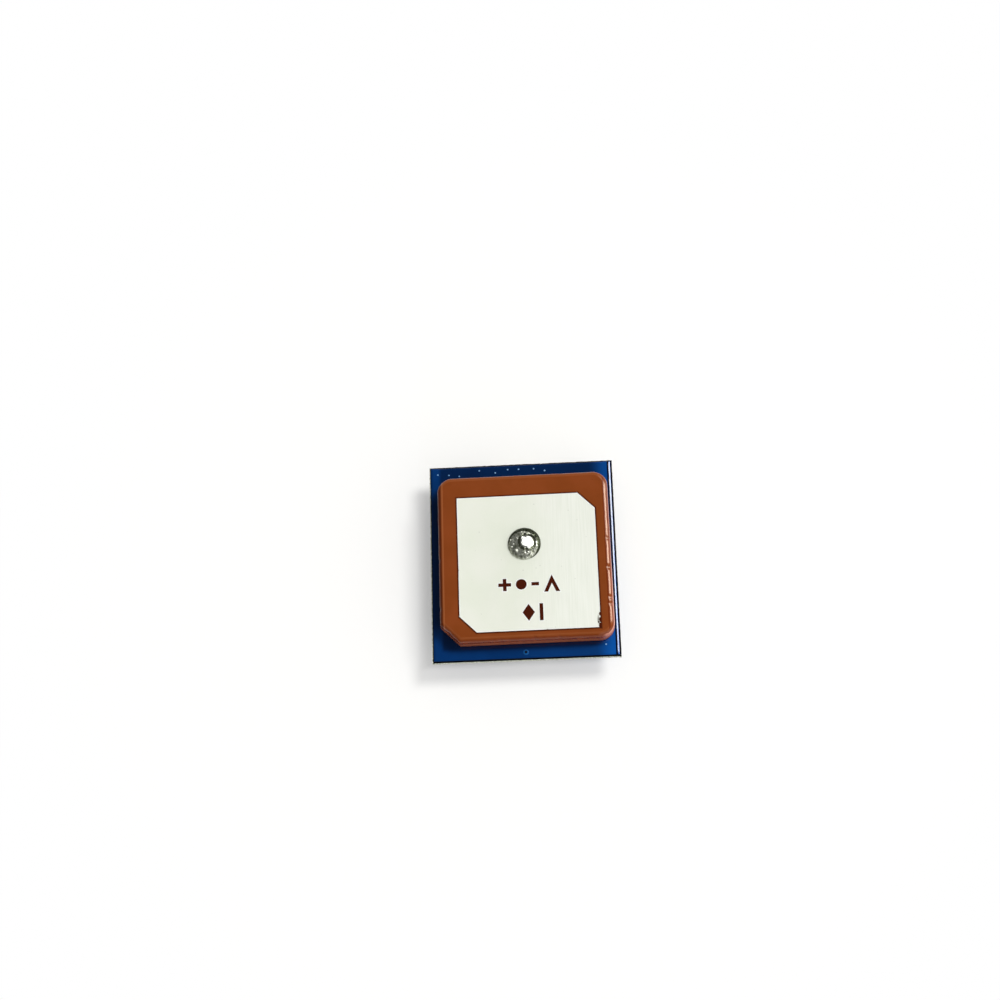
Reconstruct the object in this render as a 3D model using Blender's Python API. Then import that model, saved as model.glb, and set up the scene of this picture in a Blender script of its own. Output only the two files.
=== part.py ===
"""Positioning module: a ceramic patch antenna on a small circuit board.

The antenna's feed pin goes down through the board to the receiver electronics, which hang from the
board's underside with a backup cell and a four-way socket for the leads.

+Z points up out of the antenna, and +Y out of the socket's mouth. The origin is the centre of the
board's outline, on the surface that the module stands on. Sizes are in millimetres.
"""

import math
from collections import namedtuple

import bmesh
import bpy
from mathutils import Matrix, Vector

MM = 0.001

# Fits
SEAT_GAP = 0.01  # film of solder, glue or silver between pieces that touch
PIN_CLEARANCE = 0.1  # round the feed pin in the holes that it passes
CONTACT_CLEARANCE = 0.02  # round each contact in the socket's rear wall
PART_GAP = 0.45  # between two parts soldered side by side
EDGE_MARGIN = 0.9  # between a part and the edge of the board
CUT_OVERRUN = 0.5  # how far a cutting shape runs past the face that it opens

# Circuit board
BOARD_WIDTH = 20.0
BOARD_LENGTH = 22.0
BOARD_THICKNESS = 1.0
SCORE_DEPTH = 0.32  # the V-shaped scores along which the board was snapped out of its panel
SCORE_WIDTH = 0.22  # half of a score's mouth, which is left as a bevel
TORN_LEDGE = 0.14  # how far the torn web between two scores stands out of them

# Patch antenna
CERAMIC_SIZE = 18.34
CERAMIC_THICKNESS = 2.0
CERAMIC_CORNER_RADIUS = 1.55
CERAMIC_FLAT_CORNER = 2.0
CERAMIC_RIM_RADIUS = 0.4
CERAMIC_FOOT_BEVEL = 0.12
ANTENNA_OFFSET = (0.21, -0.17)  # the antenna was stuck on a little off centre
ANTENNA_TURN = 0.24  # degrees, and a little askew
ELECTRODE_WIDTH = 14.74
ELECTRODE_LENGTH = 14.9
ELECTRODE_OFFSET = (0.31, -0.76)
ELECTRODE_FLAT_CORNER = 1.78
ELECTRODE_THICKNESS = 0.03
GROUND_MARGIN = 0.25  # bare ceramic round the ground electrode
GROUND_HOLE_DIAMETER = 3.0
TAPE_MARGIN = 0.5
TAPE_THICKNESS = 0.1
TAPE_HOLE_DIAMETER = 3.2

# Clear marks in the top electrode
MARK_HEIGHT = 1.85
MARK_STROKE = 0.38
UPPER_MARKS = (0.06, -2.44)  # middle of each row, from the middle of the electrode
LOWER_MARKS = (0.35, -5.52)
PLUS_SIZE = 1.35
DISC_DIAMETER = 1.15
DASH_LENGTH = 0.8
CHEVRON_WIDTH = 1.7
DIAMOND_WIDTH = 1.3
MARK_GAP = 0.5

# Feed pin and its solder
PIN_OFFSET = (0.03, 1.15)  # from the middle of the ceramic
PIN_DIAMETER = 0.9
PIN_HEAD_DIAMETER = 2.0
PIN_HEAD_THICKNESS = 0.25
PIN_STICK_OUT = 0.75  # below the board
DOME_DIAMETER = 3.45
DOME_HEIGHT = 0.78
CONE_DIAMETER = 1.9
CONE_HEIGHT = 0.55
CONE_LIP = 0.12  # width of the cone's end round the pin

# Socket for the leads
CONTACT_COUNT = 4
PITCH = 1.0
HOUSING_END = 1.5  # from the last contact to the end of the housing
HOUSING_DEPTH = 4.25
HOUSING_HEIGHT = 2.95
HOUSING_EDGE = 0.08
MOUTH_INSET = 0.25  # from the board's edge back to the mouth
SIDE_WALL = 0.5
BOARD_WALL = 0.55
OUTER_WALL = 0.45
REAR_WALL = 1.15
LOCK_WINDOW_WIDTH = 0.7
LOCK_WINDOW_LENGTH = 1.1
LOCK_WINDOW_SETBACK = 0.7
CONTACT_WIDTH = 0.3
CONTACT_THICKNESS = 0.2
CONTACT_SETBACK = 0.8
CONTACT_STANDOFF = 0.15  # between the rear wall and the contact's upright
CONTACT_FOOT = 0.6
ANCHOR_THICKNESS = 0.15
ANCHOR_LENGTH = 1.4
ANCHOR_DROP = 1.7
ANCHOR_FOOT = 0.7
ANCHOR_SETBACK = 0.6

# Backup cell and its tabs
CELL_DIAMETER = 6.8
CELL_HEIGHT = 2.1
CELL_CAP_DIAMETER = 5.6
CELL_GROOVE_WIDTH = 0.12
CELL_GROOVE_DEPTH = 0.3
CELL_LIP_RADIUS = 0.35
CELL_CORNER_RADIUS = 0.25
CELL_X = 0.5
CELL_EDGE_MARGIN = 1.6
TAB_WIDTH = 1.6
TAB_THICKNESS = 0.15
TAB_FOOT = 1.2
TAB_STANDOFF = 0.2
TAB_OVERLAP = 2.0  # how far each tab reaches past the middle of the cell

# Chips: width, length, height
RECEIVER_SIZE = 5.0
RECEIVER_HEIGHT = 0.6
RECEIVER_GAP = 0.6
FLASH_WIDTH = 3.0
FLASH_LENGTH = 2.0
FLASH_HEIGHT = 0.55
AMPLIFIER_WIDTH = 1.5
AMPLIFIER_LENGTH = 1.0
AMPLIFIER_HEIGHT = 0.4
CHIP_EDGE = 0.04
DIMPLE_DIAMETER = 0.4
DIMPLE_DEPTH = 0.05
DIMPLE_INSET = 0.5

# Crystals and filter: width, length, height, and the lid that stands on the ceramic base
CRYSTAL_WIDTH = 1.5
CRYSTAL_LENGTH = 3.2
CRYSTAL_HEIGHT = 0.8
OSCILLATOR_WIDTH = 2.5
OSCILLATOR_LENGTH = 2.0
OSCILLATOR_HEIGHT = 0.8
FILTER_WIDTH = 1.4
FILTER_LENGTH = 1.1
FILTER_HEIGHT = 0.5
LID_INSET = 0.12
LID_HEIGHT = 0.3
LID_EDGE = 0.05

# Regulator
REGULATOR_WIDTH = 2.9
REGULATOR_LENGTH = 1.6
REGULATOR_HEIGHT = 1.1
REGULATOR_DRAFT = 0.1
REGULATOR_STANDOFF = 0.05
REGULATOR_Y = 5.0
LEAD_PITCH = 0.95
LEAD_WIDTH = 0.4
LEAD_THICKNESS = 0.15
LEAD_REACH = 0.6
LEAD_FOOT = 0.35

# Two-ended chip parts
SMALL_CHIP_LENGTH = 1.0
SMALL_CHIP_WIDTH = 0.5
CAPACITOR_HEIGHT = 0.5
RESISTOR_HEIGHT = 0.35
LARGE_CHIP_LENGTH = 1.6
LARGE_CHIP_WIDTH = 0.8
LARGE_CAPACITOR_HEIGHT = 0.8
FERRITE_HEIGHT = 0.7
END_CAP_SHARE = 0.24  # of the chip's length
END_CAP_STEP = 0.02
LED_BASE_HEIGHT = 0.25
LED_LENS_LENGTH = 1.0
LED_LENS_HEIGHT = 0.35
LED_LENS_EDGE = 0.08

# Fineness of curves
CORNER_STEPS = 8
RIM_STEPS = 5
TURN_STEPS = 32
HOLE_STEPS = 20
ARC_STEPS = 7
BEND_RADIUS = 0.15
BEND_STEPS = 3
SMOOTH_ANGLE = 40.0
MERGE_DISTANCE = 0.0001

# Heights, from the surface that the module stands on
BOARD_BOTTOM = HOUSING_HEIGHT + SEAT_GAP
BOARD_TOP = BOARD_BOTTOM + BOARD_THICKNESS
HANGING_SEAT = BOARD_BOTTOM - SEAT_GAP
TAPE_BOTTOM = BOARD_TOP + SEAT_GAP
GROUND_BOTTOM = TAPE_BOTTOM + TAPE_THICKNESS + SEAT_GAP
CERAMIC_BOTTOM = GROUND_BOTTOM + ELECTRODE_THICKNESS + SEAT_GAP
CERAMIC_TOP = CERAMIC_BOTTOM + CERAMIC_THICKNESS
ELECTRODE_BOTTOM = CERAMIC_TOP + SEAT_GAP
ELECTRODE_TOP = ELECTRODE_BOTTOM + ELECTRODE_THICKNESS
PIN_HEAD_SEAT = ELECTRODE_TOP + SEAT_GAP

QUADRANTS = ((1, -1), (1, 1), (-1, 1), (-1, -1))
LEFT, RIGHT, BACK, FRONT = (-1, 0), (1, 0), (0, 1), (0, -1)
SQUARE = (0.0, 1)

Spot = namedtuple("Spot", "x y wide long")


def beside(spot, direction, wide, long, gap=PART_GAP, slide=0.0):
    """The place of a part laid next to another, moved by slide along the side that they share."""
    reach_x = (spot.wide + wide) / 2 + gap
    reach_y = (spot.long + long) / 2 + gap
    x = spot.x + direction[0] * reach_x + abs(direction[1]) * slide
    y = spot.y + direction[1] * reach_y + abs(direction[0]) * slide
    return Spot(x, y, wide, long)


def clear_scene():
    for obj in list(bpy.data.objects):
        bpy.data.objects.remove(obj)


def paint(name, red, green, blue, roughness, metallic=0.0):
    """A plain material, from a colour as a screen shows it, each part from 0 to 255."""
    linear = [((level / 255 + 0.055) / 1.055) ** 2.4 for level in (red, green, blue)]
    made = bpy.data.materials.new(name)
    made.use_nodes = True
    shader = made.node_tree.nodes["Principled BSDF"]
    shader.inputs["Base Color"].default_value = (*linear, 1.0)
    shader.inputs["Roughness"].default_value = roughness
    shader.inputs["Metallic"].default_value = metallic
    made.diffuse_color = (*linear, 1.0)
    return made


def to_mesh(name, bm, material):
    """The shape as a mesh in metres, with its faces out and its curves smooth."""
    bmesh.ops.recalc_face_normals(bm, faces=bm.faces)
    bmesh.ops.scale(bm, vec=(MM, MM, MM), verts=bm.verts)
    mesh = bpy.data.meshes.new(name)
    bm.to_mesh(mesh)
    bm.free()
    mesh.shade_smooth()
    mesh.set_sharp_from_angle(angle=math.radians(SMOOTH_ANGLE))
    mesh.materials.append(material)
    return mesh


def place(name, mesh, location=(0.0, 0.0, 0.0), turn=0.0, parent=None):
    obj = bpy.data.objects.new(name, mesh)
    obj.location = [value * MM for value in location]
    obj.rotation_euler.z = math.radians(turn)
    obj.parent = parent
    bpy.context.collection.objects.link(obj)
    return obj


def helper(name, bm, piece, location=(0.0, 0.0, 0.0), turn=0.0):
    """A hidden shape in a piece's own frame, for a Boolean."""
    mesh = to_mesh(name, bm, piece.data.materials[0])
    obj = place(name, mesh, location, turn, piece)
    obj.hide_render = True
    obj.display_type = "WIRE"
    return obj


def cut(piece, name, bm):
    modifier = piece.modifiers.new(name, "BOOLEAN")
    modifier.operation = "DIFFERENCE"
    modifier.object = helper(name, bm, piece)


def join(piece, name, bm, location, turn):
    modifier = piece.modifiers.new(name, "BOOLEAN")
    modifier.operation = "UNION"
    modifier.object = helper(name, bm, piece, location, turn)


def plate_outline(width, length, corners):
    """Outline of a plate about the origin. corners gives (size, steps) for each corner, from the one
    at +X and -Y on, anticlockwise: one step cuts it flat, more steps round it."""
    points = []
    for quarter, ((side_x, side_y), (size, steps)) in enumerate(zip(QUADRANTS, corners)):
        x = side_x * (width / 2 - size)
        y = side_y * (length / 2 - size)
        for step in range(steps + 1 if size else 1):
            angle = math.radians(90 * (quarter - 1 + step / steps))
            points.append((x + size * math.cos(angle), y + size * math.sin(angle)))
    return points


def circle(diameter, steps=HOLE_STEPS, centre=(0.0, 0.0)):
    angles = [math.tau * step / steps for step in range(steps)]
    radius = diameter / 2
    return [(centre[0] + radius * math.cos(a), centre[1] + radius * math.sin(a)) for a in angles]


def extrude(bm, face, vec):
    made = bmesh.ops.extrude_face_region(bm, geom=[face])["geom"]
    verts = [item for item in made if isinstance(item, bmesh.types.BMVert)]
    bmesh.ops.translate(bm, verts=verts, vec=vec)


def prism(outlines, bottom, top):
    """Flat outlines raised from one height to another."""
    bm = bmesh.new()
    for outline in outlines:
        base = bm.faces.new([bm.verts.new((x, y, bottom)) for x, y in outline])
        extrude(bm, base, (0, 0, top - bottom))
    return bm


def box(low, high):
    outline = [(low[0], low[1]), (high[0], low[1]), (high[0], high[1]), (low[0], high[1])]
    return prism([outline], low[2], high[2])


def bevel_height(bm, height, size, steps):
    """Bevels the edges that lie at one height; more than one step rounds them."""
    edges = [e for e in bm.edges if all(abs(v.co.z - height) < MERGE_DISTANCE for v in e.verts)]
    bmesh.ops.bevel(bm, geom=edges, offset=size, segments=steps, profile=0.5, affect="EDGES")


def loft(rings):
    """A closed body through rings of points, each ring with as many points as the next."""
    bm = bmesh.new()
    loops = [[bm.verts.new(point) for point in ring] for ring in rings]
    for low, high in zip(loops, loops[1:]):
        for i in range(len(low)):
            bm.faces.new((low[i - 1], low[i], high[i], high[i - 1]))
    bm.faces.new(loops[0])
    bm.faces.new(loops[-1])
    return bm


def stepped_block(levels):
    """A block that hangs from z = 0, through levels of (depth, width, length)."""
    return loft(
        [
            [(side_x * width / 2, side_y * length / 2, -depth) for side_x, side_y in QUADRANTS]
            for depth, width, length in levels
        ]
    )


def turned(profile, steps=TURN_STEPS):
    """A profile of (radius, height) points turned round Z. One that starts clear of the axis is a ring."""
    bm = bmesh.new()
    verts = [bm.verts.new((radius, 0, height)) for radius, height in profile]
    edges = [bm.edges.new(pair) for pair in zip(verts, verts[1:])]
    if profile[0][0] > 0:
        edges.append(bm.edges.new((verts[-1], verts[0])))
    bmesh.ops.spin(
        bm, geom=verts + edges, cent=(0, 0, 0), axis=(0, 0, 1), angle=math.tau, steps=steps, use_merge=True
    )
    bmesh.ops.remove_doubles(bm, verts=bm.verts, dist=MERGE_DISTANCE)
    return bm


def arc(centre, radius, start, end, steps=ARC_STEPS):
    """Points of an arc, from one angle in degrees to another."""
    angles = [math.radians(start + (end - start) * step / steps) for step in range(steps + 1)]
    return [(centre[0] + radius * math.cos(a), centre[1] + radius * math.sin(a)) for a in angles]


def with_bends(path):
    """A path of straight runs with its corners rounded to bends."""
    points = [Vector(point) for point in path]
    rounded = [points[0]]
    for before, corner, after in zip(points, points[1:], points[2:]):
        back, on = (before - corner).normalized(), (after - corner).normalized()
        half = back.angle(on) / 2
        centre = corner + (back + on).normalized() * BEND_RADIUS / math.sin(half)
        start = corner + back * BEND_RADIUS / math.tan(half) - centre
        sweep = math.copysign(math.pi - 2 * half, back.y * on.x - back.x * on.y)
        turns = [Matrix.Rotation(sweep * step / BEND_STEPS, 2) for step in range(BEND_STEPS + 1)]
        rounded += [centre + turn @ start for turn in turns]
    return rounded + [points[-1]]


def moved_sideways(points, distance):
    """The points of a path moved to one side of it, mitred at its corners."""
    runs = [(after - before).normalized() for before, after in zip(points, points[1:])]
    moved = []
    for point, before, after in zip(points, runs[:1] + runs, runs + runs[-1:]):
        mitre = Vector((-before.y - after.y, before.x + after.x)).normalized()
        side = Vector((-before.y, before.x))
        moved.append(point + mitre * distance / mitre.dot(side))
    return moved


def strip(path, thickness, width):
    """A flat strip bent along a path of (x, z) points, with its width along Y."""
    points = with_bends(path)
    outline = moved_sideways(points, thickness / 2) + moved_sideways(points, -thickness / 2)[::-1]
    bm = bmesh.new()
    side = bm.faces.new([bm.verts.new((x, -width / 2, z)) for x, z in outline])
    extrude(bm, side, (0, width, 0))
    return bm


def feed_point():
    """Where the feed pin meets the board, in the board's frame."""
    turned_offset = Matrix.Rotation(math.radians(ANTENNA_TURN), 2) @ Vector(PIN_OFFSET)
    return turned_offset + Vector(ANTENNA_OFFSET)


def circuit_board():
    top_width = BOARD_WIDTH - 2 * (TORN_LEDGE + SCORE_WIDTH)
    top_length = BOARD_LENGTH - 2 * (TORN_LEDGE + SCORE_WIDTH)
    score_floor_width = BOARD_WIDTH - 2 * TORN_LEDGE
    score_floor_length = BOARD_LENGTH - 2 * TORN_LEDGE
    levels = (
        (0.0, top_width, top_length),
        (SCORE_DEPTH, score_floor_width, score_floor_length),
        (SCORE_DEPTH, BOARD_WIDTH, BOARD_LENGTH),
        (BOARD_THICKNESS - SCORE_DEPTH, BOARD_WIDTH, BOARD_LENGTH),
        (BOARD_THICKNESS - SCORE_DEPTH, score_floor_width, score_floor_length),
        (BOARD_THICKNESS, top_width, top_length),
    )
    material = paint("solder_mask_blue", 8, 50, 105, 0.35)
    mesh = to_mesh("circuit_board", stepped_block(levels), material)
    board = place("circuit_board", mesh, (0, 0, BOARD_TOP))
    hole = circle(PIN_DIAMETER + 2 * PIN_CLEARANCE, centre=feed_point())
    cut(board, "board_feed_hole", prism([hole], -BOARD_THICKNESS - CUT_OVERRUN, CUT_OVERRUN))


def ceramic_outline(margin=0.0):
    """The ceramic's outline, or one that lies inside it by a margin."""
    size = CERAMIC_SIZE - 2 * margin
    round_corner = (CERAMIC_CORNER_RADIUS - margin, CORNER_STEPS)
    flat_corner = (CERAMIC_FLAT_CORNER - margin * (2 - math.sqrt(2)), 1)
    return plate_outline(size, size, (round_corner, round_corner, round_corner, flat_corner))


def antenna_ceramic(seat):
    bm = prism([ceramic_outline()], CERAMIC_BOTTOM, CERAMIC_TOP)
    bevel_height(bm, CERAMIC_TOP, CERAMIC_RIM_RADIUS, RIM_STEPS)
    bevel_height(bm, CERAMIC_BOTTOM, CERAMIC_FOOT_BEVEL, 1)
    mesh = to_mesh("antenna_ceramic", bm, paint("fired_ceramic_brown", 134, 69, 32, 0.4))
    ceramic = place("antenna_ceramic", mesh, parent=seat)
    hole = circle(PIN_DIAMETER + 2 * PIN_CLEARANCE, centre=PIN_OFFSET)
    cut(ceramic, "ceramic_pin_hole", prism([hole], CERAMIC_BOTTOM - CUT_OVERRUN, CERAMIC_TOP + CUT_OVERRUN))


def plus_mark(x, y):
    arm, half = PLUS_SIZE / 2, MARK_STROKE / 2
    quarter = ((half, -arm), (half, -half), (arm, -half))
    points = []
    for turn in range(4):
        rotation = Matrix.Rotation(math.radians(90 * turn), 2)
        points += [rotation @ Vector(point) for point in quarter]
    return [(x + point.x, y + point.y) for point in points]


def bar_mark(x, y, width, height):
    return [(x + side_x * width / 2, y + side_y * height / 2) for side_x, side_y in QUADRANTS]


def chevron_mark(x, y):
    foot, low, high = CHEVRON_WIDTH / 2, y - MARK_HEIGHT / 2, y + MARK_HEIGHT / 2
    slope = math.atan2(MARK_HEIGHT, foot)
    across, drop = MARK_STROKE / math.sin(slope), MARK_STROKE / math.cos(slope)
    return [
        (x - foot, low),
        (x - foot + across, low),
        (x, high - drop),
        (x + foot - across, low),
        (x + foot, low),
        (x, high),
    ]


def diamond_mark(x, y):
    wide, high = DIAMOND_WIDTH / 2, MARK_HEIGHT / 2
    return [(x, y - high), (x + wide, y), (x, y + high), (x - wide, y)]


def row_of_places(widths, middle):
    """The middle of each mark in a row, from its width."""
    x = middle - (sum(widths) + MARK_GAP * (len(widths) - 1)) / 2
    places = []
    for width in widths:
        places.append(x + width / 2)
        x += width + MARK_GAP
    return places


def electrode_marks():
    """Two rows of plain marks, in which the ceramic shows."""
    upper_y = ELECTRODE_OFFSET[1] + UPPER_MARKS[1]
    lower_y = ELECTRODE_OFFSET[1] + LOWER_MARKS[1]
    upper_widths = (PLUS_SIZE, DISC_DIAMETER, DASH_LENGTH, CHEVRON_WIDTH)
    plus_x, disc_x, dash_x, chevron_x = row_of_places(upper_widths, ELECTRODE_OFFSET[0] + UPPER_MARKS[0])
    diamond_x, bar_x = row_of_places((DIAMOND_WIDTH, MARK_STROKE), ELECTRODE_OFFSET[0] + LOWER_MARKS[0])
    return [
        plus_mark(plus_x, upper_y),
        circle(DISC_DIAMETER, centre=(disc_x, upper_y)),
        bar_mark(dash_x, upper_y, DASH_LENGTH, MARK_STROKE),
        chevron_mark(chevron_x, upper_y),
        diamond_mark(diamond_x, lower_y),
        bar_mark(bar_x, lower_y, MARK_STROKE, MARK_HEIGHT),
    ]


def antenna_electrodes(seat):
    flat = (ELECTRODE_FLAT_CORNER, 1)
    outline = plate_outline(ELECTRODE_WIDTH, ELECTRODE_LENGTH, (SQUARE, flat, SQUARE, flat))
    outline = [(x + ELECTRODE_OFFSET[0], y + ELECTRODE_OFFSET[1]) for x, y in outline]
    silver = paint("fired_silver", 233, 236, 222, 0.4, 0.3)
    mesh = to_mesh("antenna_top_electrode", prism([outline], ELECTRODE_BOTTOM, ELECTRODE_TOP), silver)
    electrode = place("antenna_top_electrode", mesh, parent=seat)
    low, high = ELECTRODE_BOTTOM - CUT_OVERRUN, ELECTRODE_TOP + CUT_OVERRUN
    hole = circle(PIN_DIAMETER + 2 * PIN_CLEARANCE, centre=PIN_OFFSET)
    cut(electrode, "electrode_openings", prism([hole] + electrode_marks(), low, high))

    bm = prism([ceramic_outline(GROUND_MARGIN)], GROUND_BOTTOM, GROUND_BOTTOM + ELECTRODE_THICKNESS)
    ground = place("antenna_ground_electrode", to_mesh("antenna_ground_electrode", bm, silver), parent=seat)
    hole = circle(GROUND_HOLE_DIAMETER, centre=PIN_OFFSET)
    cut(ground, "ground_hole", prism([hole], GROUND_BOTTOM - CUT_OVERRUN, CERAMIC_BOTTOM + CUT_OVERRUN))


def antenna_tape(seat):
    bm = prism([ceramic_outline(TAPE_MARGIN)], TAPE_BOTTOM, TAPE_BOTTOM + TAPE_THICKNESS)
    mesh = to_mesh("antenna_tape", bm, paint("adhesive_tape", 225, 224, 214, 0.8))
    tape = place("antenna_tape", mesh, parent=seat)
    hole = circle(TAPE_HOLE_DIAMETER, centre=PIN_OFFSET)
    cut(tape, "tape_hole", prism([hole], TAPE_BOTTOM - CUT_OVERRUN, GROUND_BOTTOM + CUT_OVERRUN))


def feed_pin(seat):
    pin, head = PIN_DIAMETER / 2, PIN_HEAD_DIAMETER / 2
    tip = HANGING_SEAT - PIN_STICK_OUT
    head_top = PIN_HEAD_SEAT + PIN_HEAD_THICKNESS
    profile = [(0, tip), (pin, tip), (pin, PIN_HEAD_SEAT), (head, PIN_HEAD_SEAT), (head, head_top), (0, head_top)]
    tin = paint("tinned_brass", 200, 200, 195, 0.3, 1.0)
    place("feed_pin", to_mesh("feed_pin", turned(profile, HOLE_STEPS), tin), (*PIN_OFFSET, 0), parent=seat)


def feed_solder(seat):
    solder = paint("solder", 190, 190, 186, 0.15, 1.0)
    dome, head = DOME_DIAMETER / 2, PIN_HEAD_DIAMETER / 2 + SEAT_GAP
    recess = PIN_HEAD_SEAT + PIN_HEAD_THICKNESS + SEAT_GAP
    sphere = (dome**2 + DOME_HEIGHT**2) / (2 * DOME_HEIGHT)
    centre = PIN_HEAD_SEAT + DOME_HEIGHT - sphere
    start = math.degrees(math.atan2(PIN_HEAD_SEAT - centre, dome))
    profile = [(0, recess), (head, recess), (head, PIN_HEAD_SEAT)] + arc((0, centre), sphere, start, 90)
    mesh = to_mesh("feed_solder_top", turned(profile), solder)
    place("feed_solder_top", mesh, (*PIN_OFFSET, 0), parent=seat)

    pin = PIN_DIAMETER / 2 + SEAT_GAP
    lip = pin + CONE_LIP
    end = HANGING_SEAT - CONE_HEIGHT
    reach = CONE_DIAMETER / 2 - lip
    slope = [
        (lip + reach * (1 - math.cos(a)), end + CONE_HEIGHT * math.sin(a))
        for a in (math.pi / 2 * step / ARC_STEPS for step in range(ARC_STEPS + 1))
    ]
    profile = [(pin, end)] + slope + [(pin, HANGING_SEAT)]
    mesh = to_mesh("feed_solder_bottom", turned(profile), solder)
    place("feed_solder_bottom", mesh, (*PIN_OFFSET, 0), parent=seat)


def contact_places():
    return [PITCH * (index - (CONTACT_COUNT - 1) / 2) for index in range(CONTACT_COUNT)]


def housing_width():
    return PITCH * (CONTACT_COUNT - 1) + 2 * HOUSING_END


def contact_level():
    """The middle of the mouth, from the housing's outer face."""
    return (OUTER_WALL + HOUSING_HEIGHT - BOARD_WALL) / 2


def connector_housing():
    """The housing, in a frame whose origin is under the middle of its mouth."""
    half = housing_width() / 2
    bm = box((-half, -HOUSING_DEPTH, 0), (half, 0, HOUSING_HEIGHT))
    bmesh.ops.bevel(bm, geom=bm.edges, offset=HOUSING_EDGE, segments=1, affect="EDGES")
    mesh = to_mesh("connector_housing", bm, paint("socket_nylon", 232, 228, 214, 0.5))
    housing = place("connector_housing", mesh, (0, BOARD_LENGTH / 2 - MOUTH_INSET, 0))

    inner = half - SIDE_WALL
    floor = -HOUSING_DEPTH + REAR_WALL
    roof = HOUSING_HEIGHT - BOARD_WALL
    cut(housing, "socket_mouth", box((-inner, floor, OUTER_WALL), (inner, CUT_OVERRUN, roof)))

    window_end = -LOCK_WINDOW_SETBACK - LOCK_WINDOW_LENGTH
    window_x = half - SIDE_WALL - LOCK_WINDOW_WIDTH
    for number, side in enumerate((-1, 1), start=1):
        middle = side * window_x
        low = (middle - LOCK_WINDOW_WIDTH / 2, window_end, -CUT_OVERRUN)
        high = (middle + LOCK_WINDOW_WIDTH / 2, -LOCK_WINDOW_SETBACK, (OUTER_WALL + roof) / 2)
        cut(housing, f"lock_window_{number}", box(low, high))

        outer = side * (half + CUT_OVERRUN)
        inside = side * (half - ANCHOR_THICKNESS - SEAT_GAP)
        low = (min(outer, inside), -ANCHOR_SETBACK - ANCHOR_LENGTH - SEAT_GAP, roof - ANCHOR_DROP)
        high = (max(outer, inside), -ANCHOR_SETBACK + SEAT_GAP, HOUSING_HEIGHT + CUT_OVERRUN)
        cut(housing, f"anchor_slot_{number}", box(low, high))

    half_width = CONTACT_WIDTH / 2 + CONTACT_CLEARANCE
    half_height = CONTACT_THICKNESS / 2 + CONTACT_CLEARANCE
    level = contact_level()
    for number, x in enumerate(contact_places(), start=1):
        low = (x - half_width, -HOUSING_DEPTH - CUT_OVERRUN, level - half_height)
        high = (x + half_width, floor + CUT_OVERRUN, level + half_height)
        cut(housing, f"contact_hole_{number}", box(low, high))


def connector_contacts():
    metal = paint("tinned_contact", 205, 203, 196, 0.3, 1.0)
    mouth = BOARD_LENGTH / 2 - MOUTH_INSET
    upright = HOUSING_DEPTH + CONTACT_STANDOFF + CONTACT_THICKNESS / 2
    foot_level = HANGING_SEAT - CONTACT_THICKNESS / 2
    path = [
        (-CONTACT_SETBACK, contact_level()),
        (-upright, contact_level()),
        (-upright, foot_level),
        (-upright - CONTACT_FOOT, foot_level),
    ]
    mesh = to_mesh("connector_contact", strip(path, CONTACT_THICKNESS, CONTACT_WIDTH), metal)
    for number, x in enumerate(contact_places(), start=1):
        place(f"connector_contact_{number}", mesh, (x, mouth, 0), turn=90)

    plate_x = housing_width() / 2 - ANCHOR_THICKNESS / 2
    plate_low = HOUSING_HEIGHT - BOARD_WALL - ANCHOR_DROP + SEAT_GAP
    foot_level = HANGING_SEAT - ANCHOR_THICKNESS / 2
    y = mouth - ANCHOR_SETBACK - ANCHOR_LENGTH / 2
    for side, end in (("left", -1), ("right", 1)):
        path = [
            (end * plate_x, plate_low),
            (end * plate_x, foot_level),
            (end * (plate_x + ANCHOR_THICKNESS / 2 + ANCHOR_FOOT), foot_level),
        ]
        mesh = to_mesh(f"connector_anchor_{side}", strip(path, ANCHOR_THICKNESS, ANCHOR_LENGTH), metal)
        place(f"connector_anchor_{side}", mesh, (0, y, 0))


def backup_cell():
    """The cell lies in a plane under its upper tab; its middle is the frame of both tabs."""
    radius, cap = CELL_DIAMETER / 2, CELL_CAP_DIAMETER / 2
    y = CELL_EDGE_MARGIN + radius - BOARD_LENGTH / 2
    upper = HANGING_SEAT - TAB_THICKNESS - SEAT_GAP
    lower = upper - CELL_HEIGHT
    lip = upper - CELL_LIP_RADIUS
    corner = lower + CELL_CORNER_RADIUS
    profile = [(0, upper), (cap, upper), (cap, upper - CELL_GROOVE_DEPTH)]
    profile += [(cap + CELL_GROOVE_WIDTH, upper - CELL_GROOVE_DEPTH)]
    profile += [(cap + CELL_GROOVE_WIDTH, upper)]
    profile += arc((radius - CELL_LIP_RADIUS, lip), CELL_LIP_RADIUS, 90, 0, BEND_STEPS)
    profile += arc((radius - CELL_CORNER_RADIUS, corner), CELL_CORNER_RADIUS, 0, -90, BEND_STEPS)
    profile += [(0, lower)]
    steel = paint("cell_steel", 196, 197, 196, 0.28, 1.0)
    place("backup_cell", to_mesh("backup_cell", turned(profile), steel), (CELL_X, y, 0))

    reach = radius + TAB_STANDOFF + TAB_THICKNESS / 2
    level = HANGING_SEAT - TAB_THICKNESS / 2
    path = [(-TAB_OVERLAP, level), (reach + TAB_FOOT, level)]
    mesh = to_mesh("cell_tab_upper", strip(path, TAB_THICKNESS, TAB_WIDTH), steel)
    place("cell_tab_upper", mesh, (CELL_X, y, 0))
    outer = lower - SEAT_GAP - TAB_THICKNESS / 2
    path = [(TAB_OVERLAP, outer), (-reach, outer), (-reach, level), (-reach - TAB_FOOT, level)]
    mesh = to_mesh("cell_tab_lower", strip(path, TAB_THICKNESS, TAB_WIDTH), steel)
    place("cell_tab_lower", mesh, (CELL_X, y, 0))
    return Spot(CELL_X + radius + TAB_FOOT, y, TAB_FOOT, TAB_WIDTH)


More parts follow.
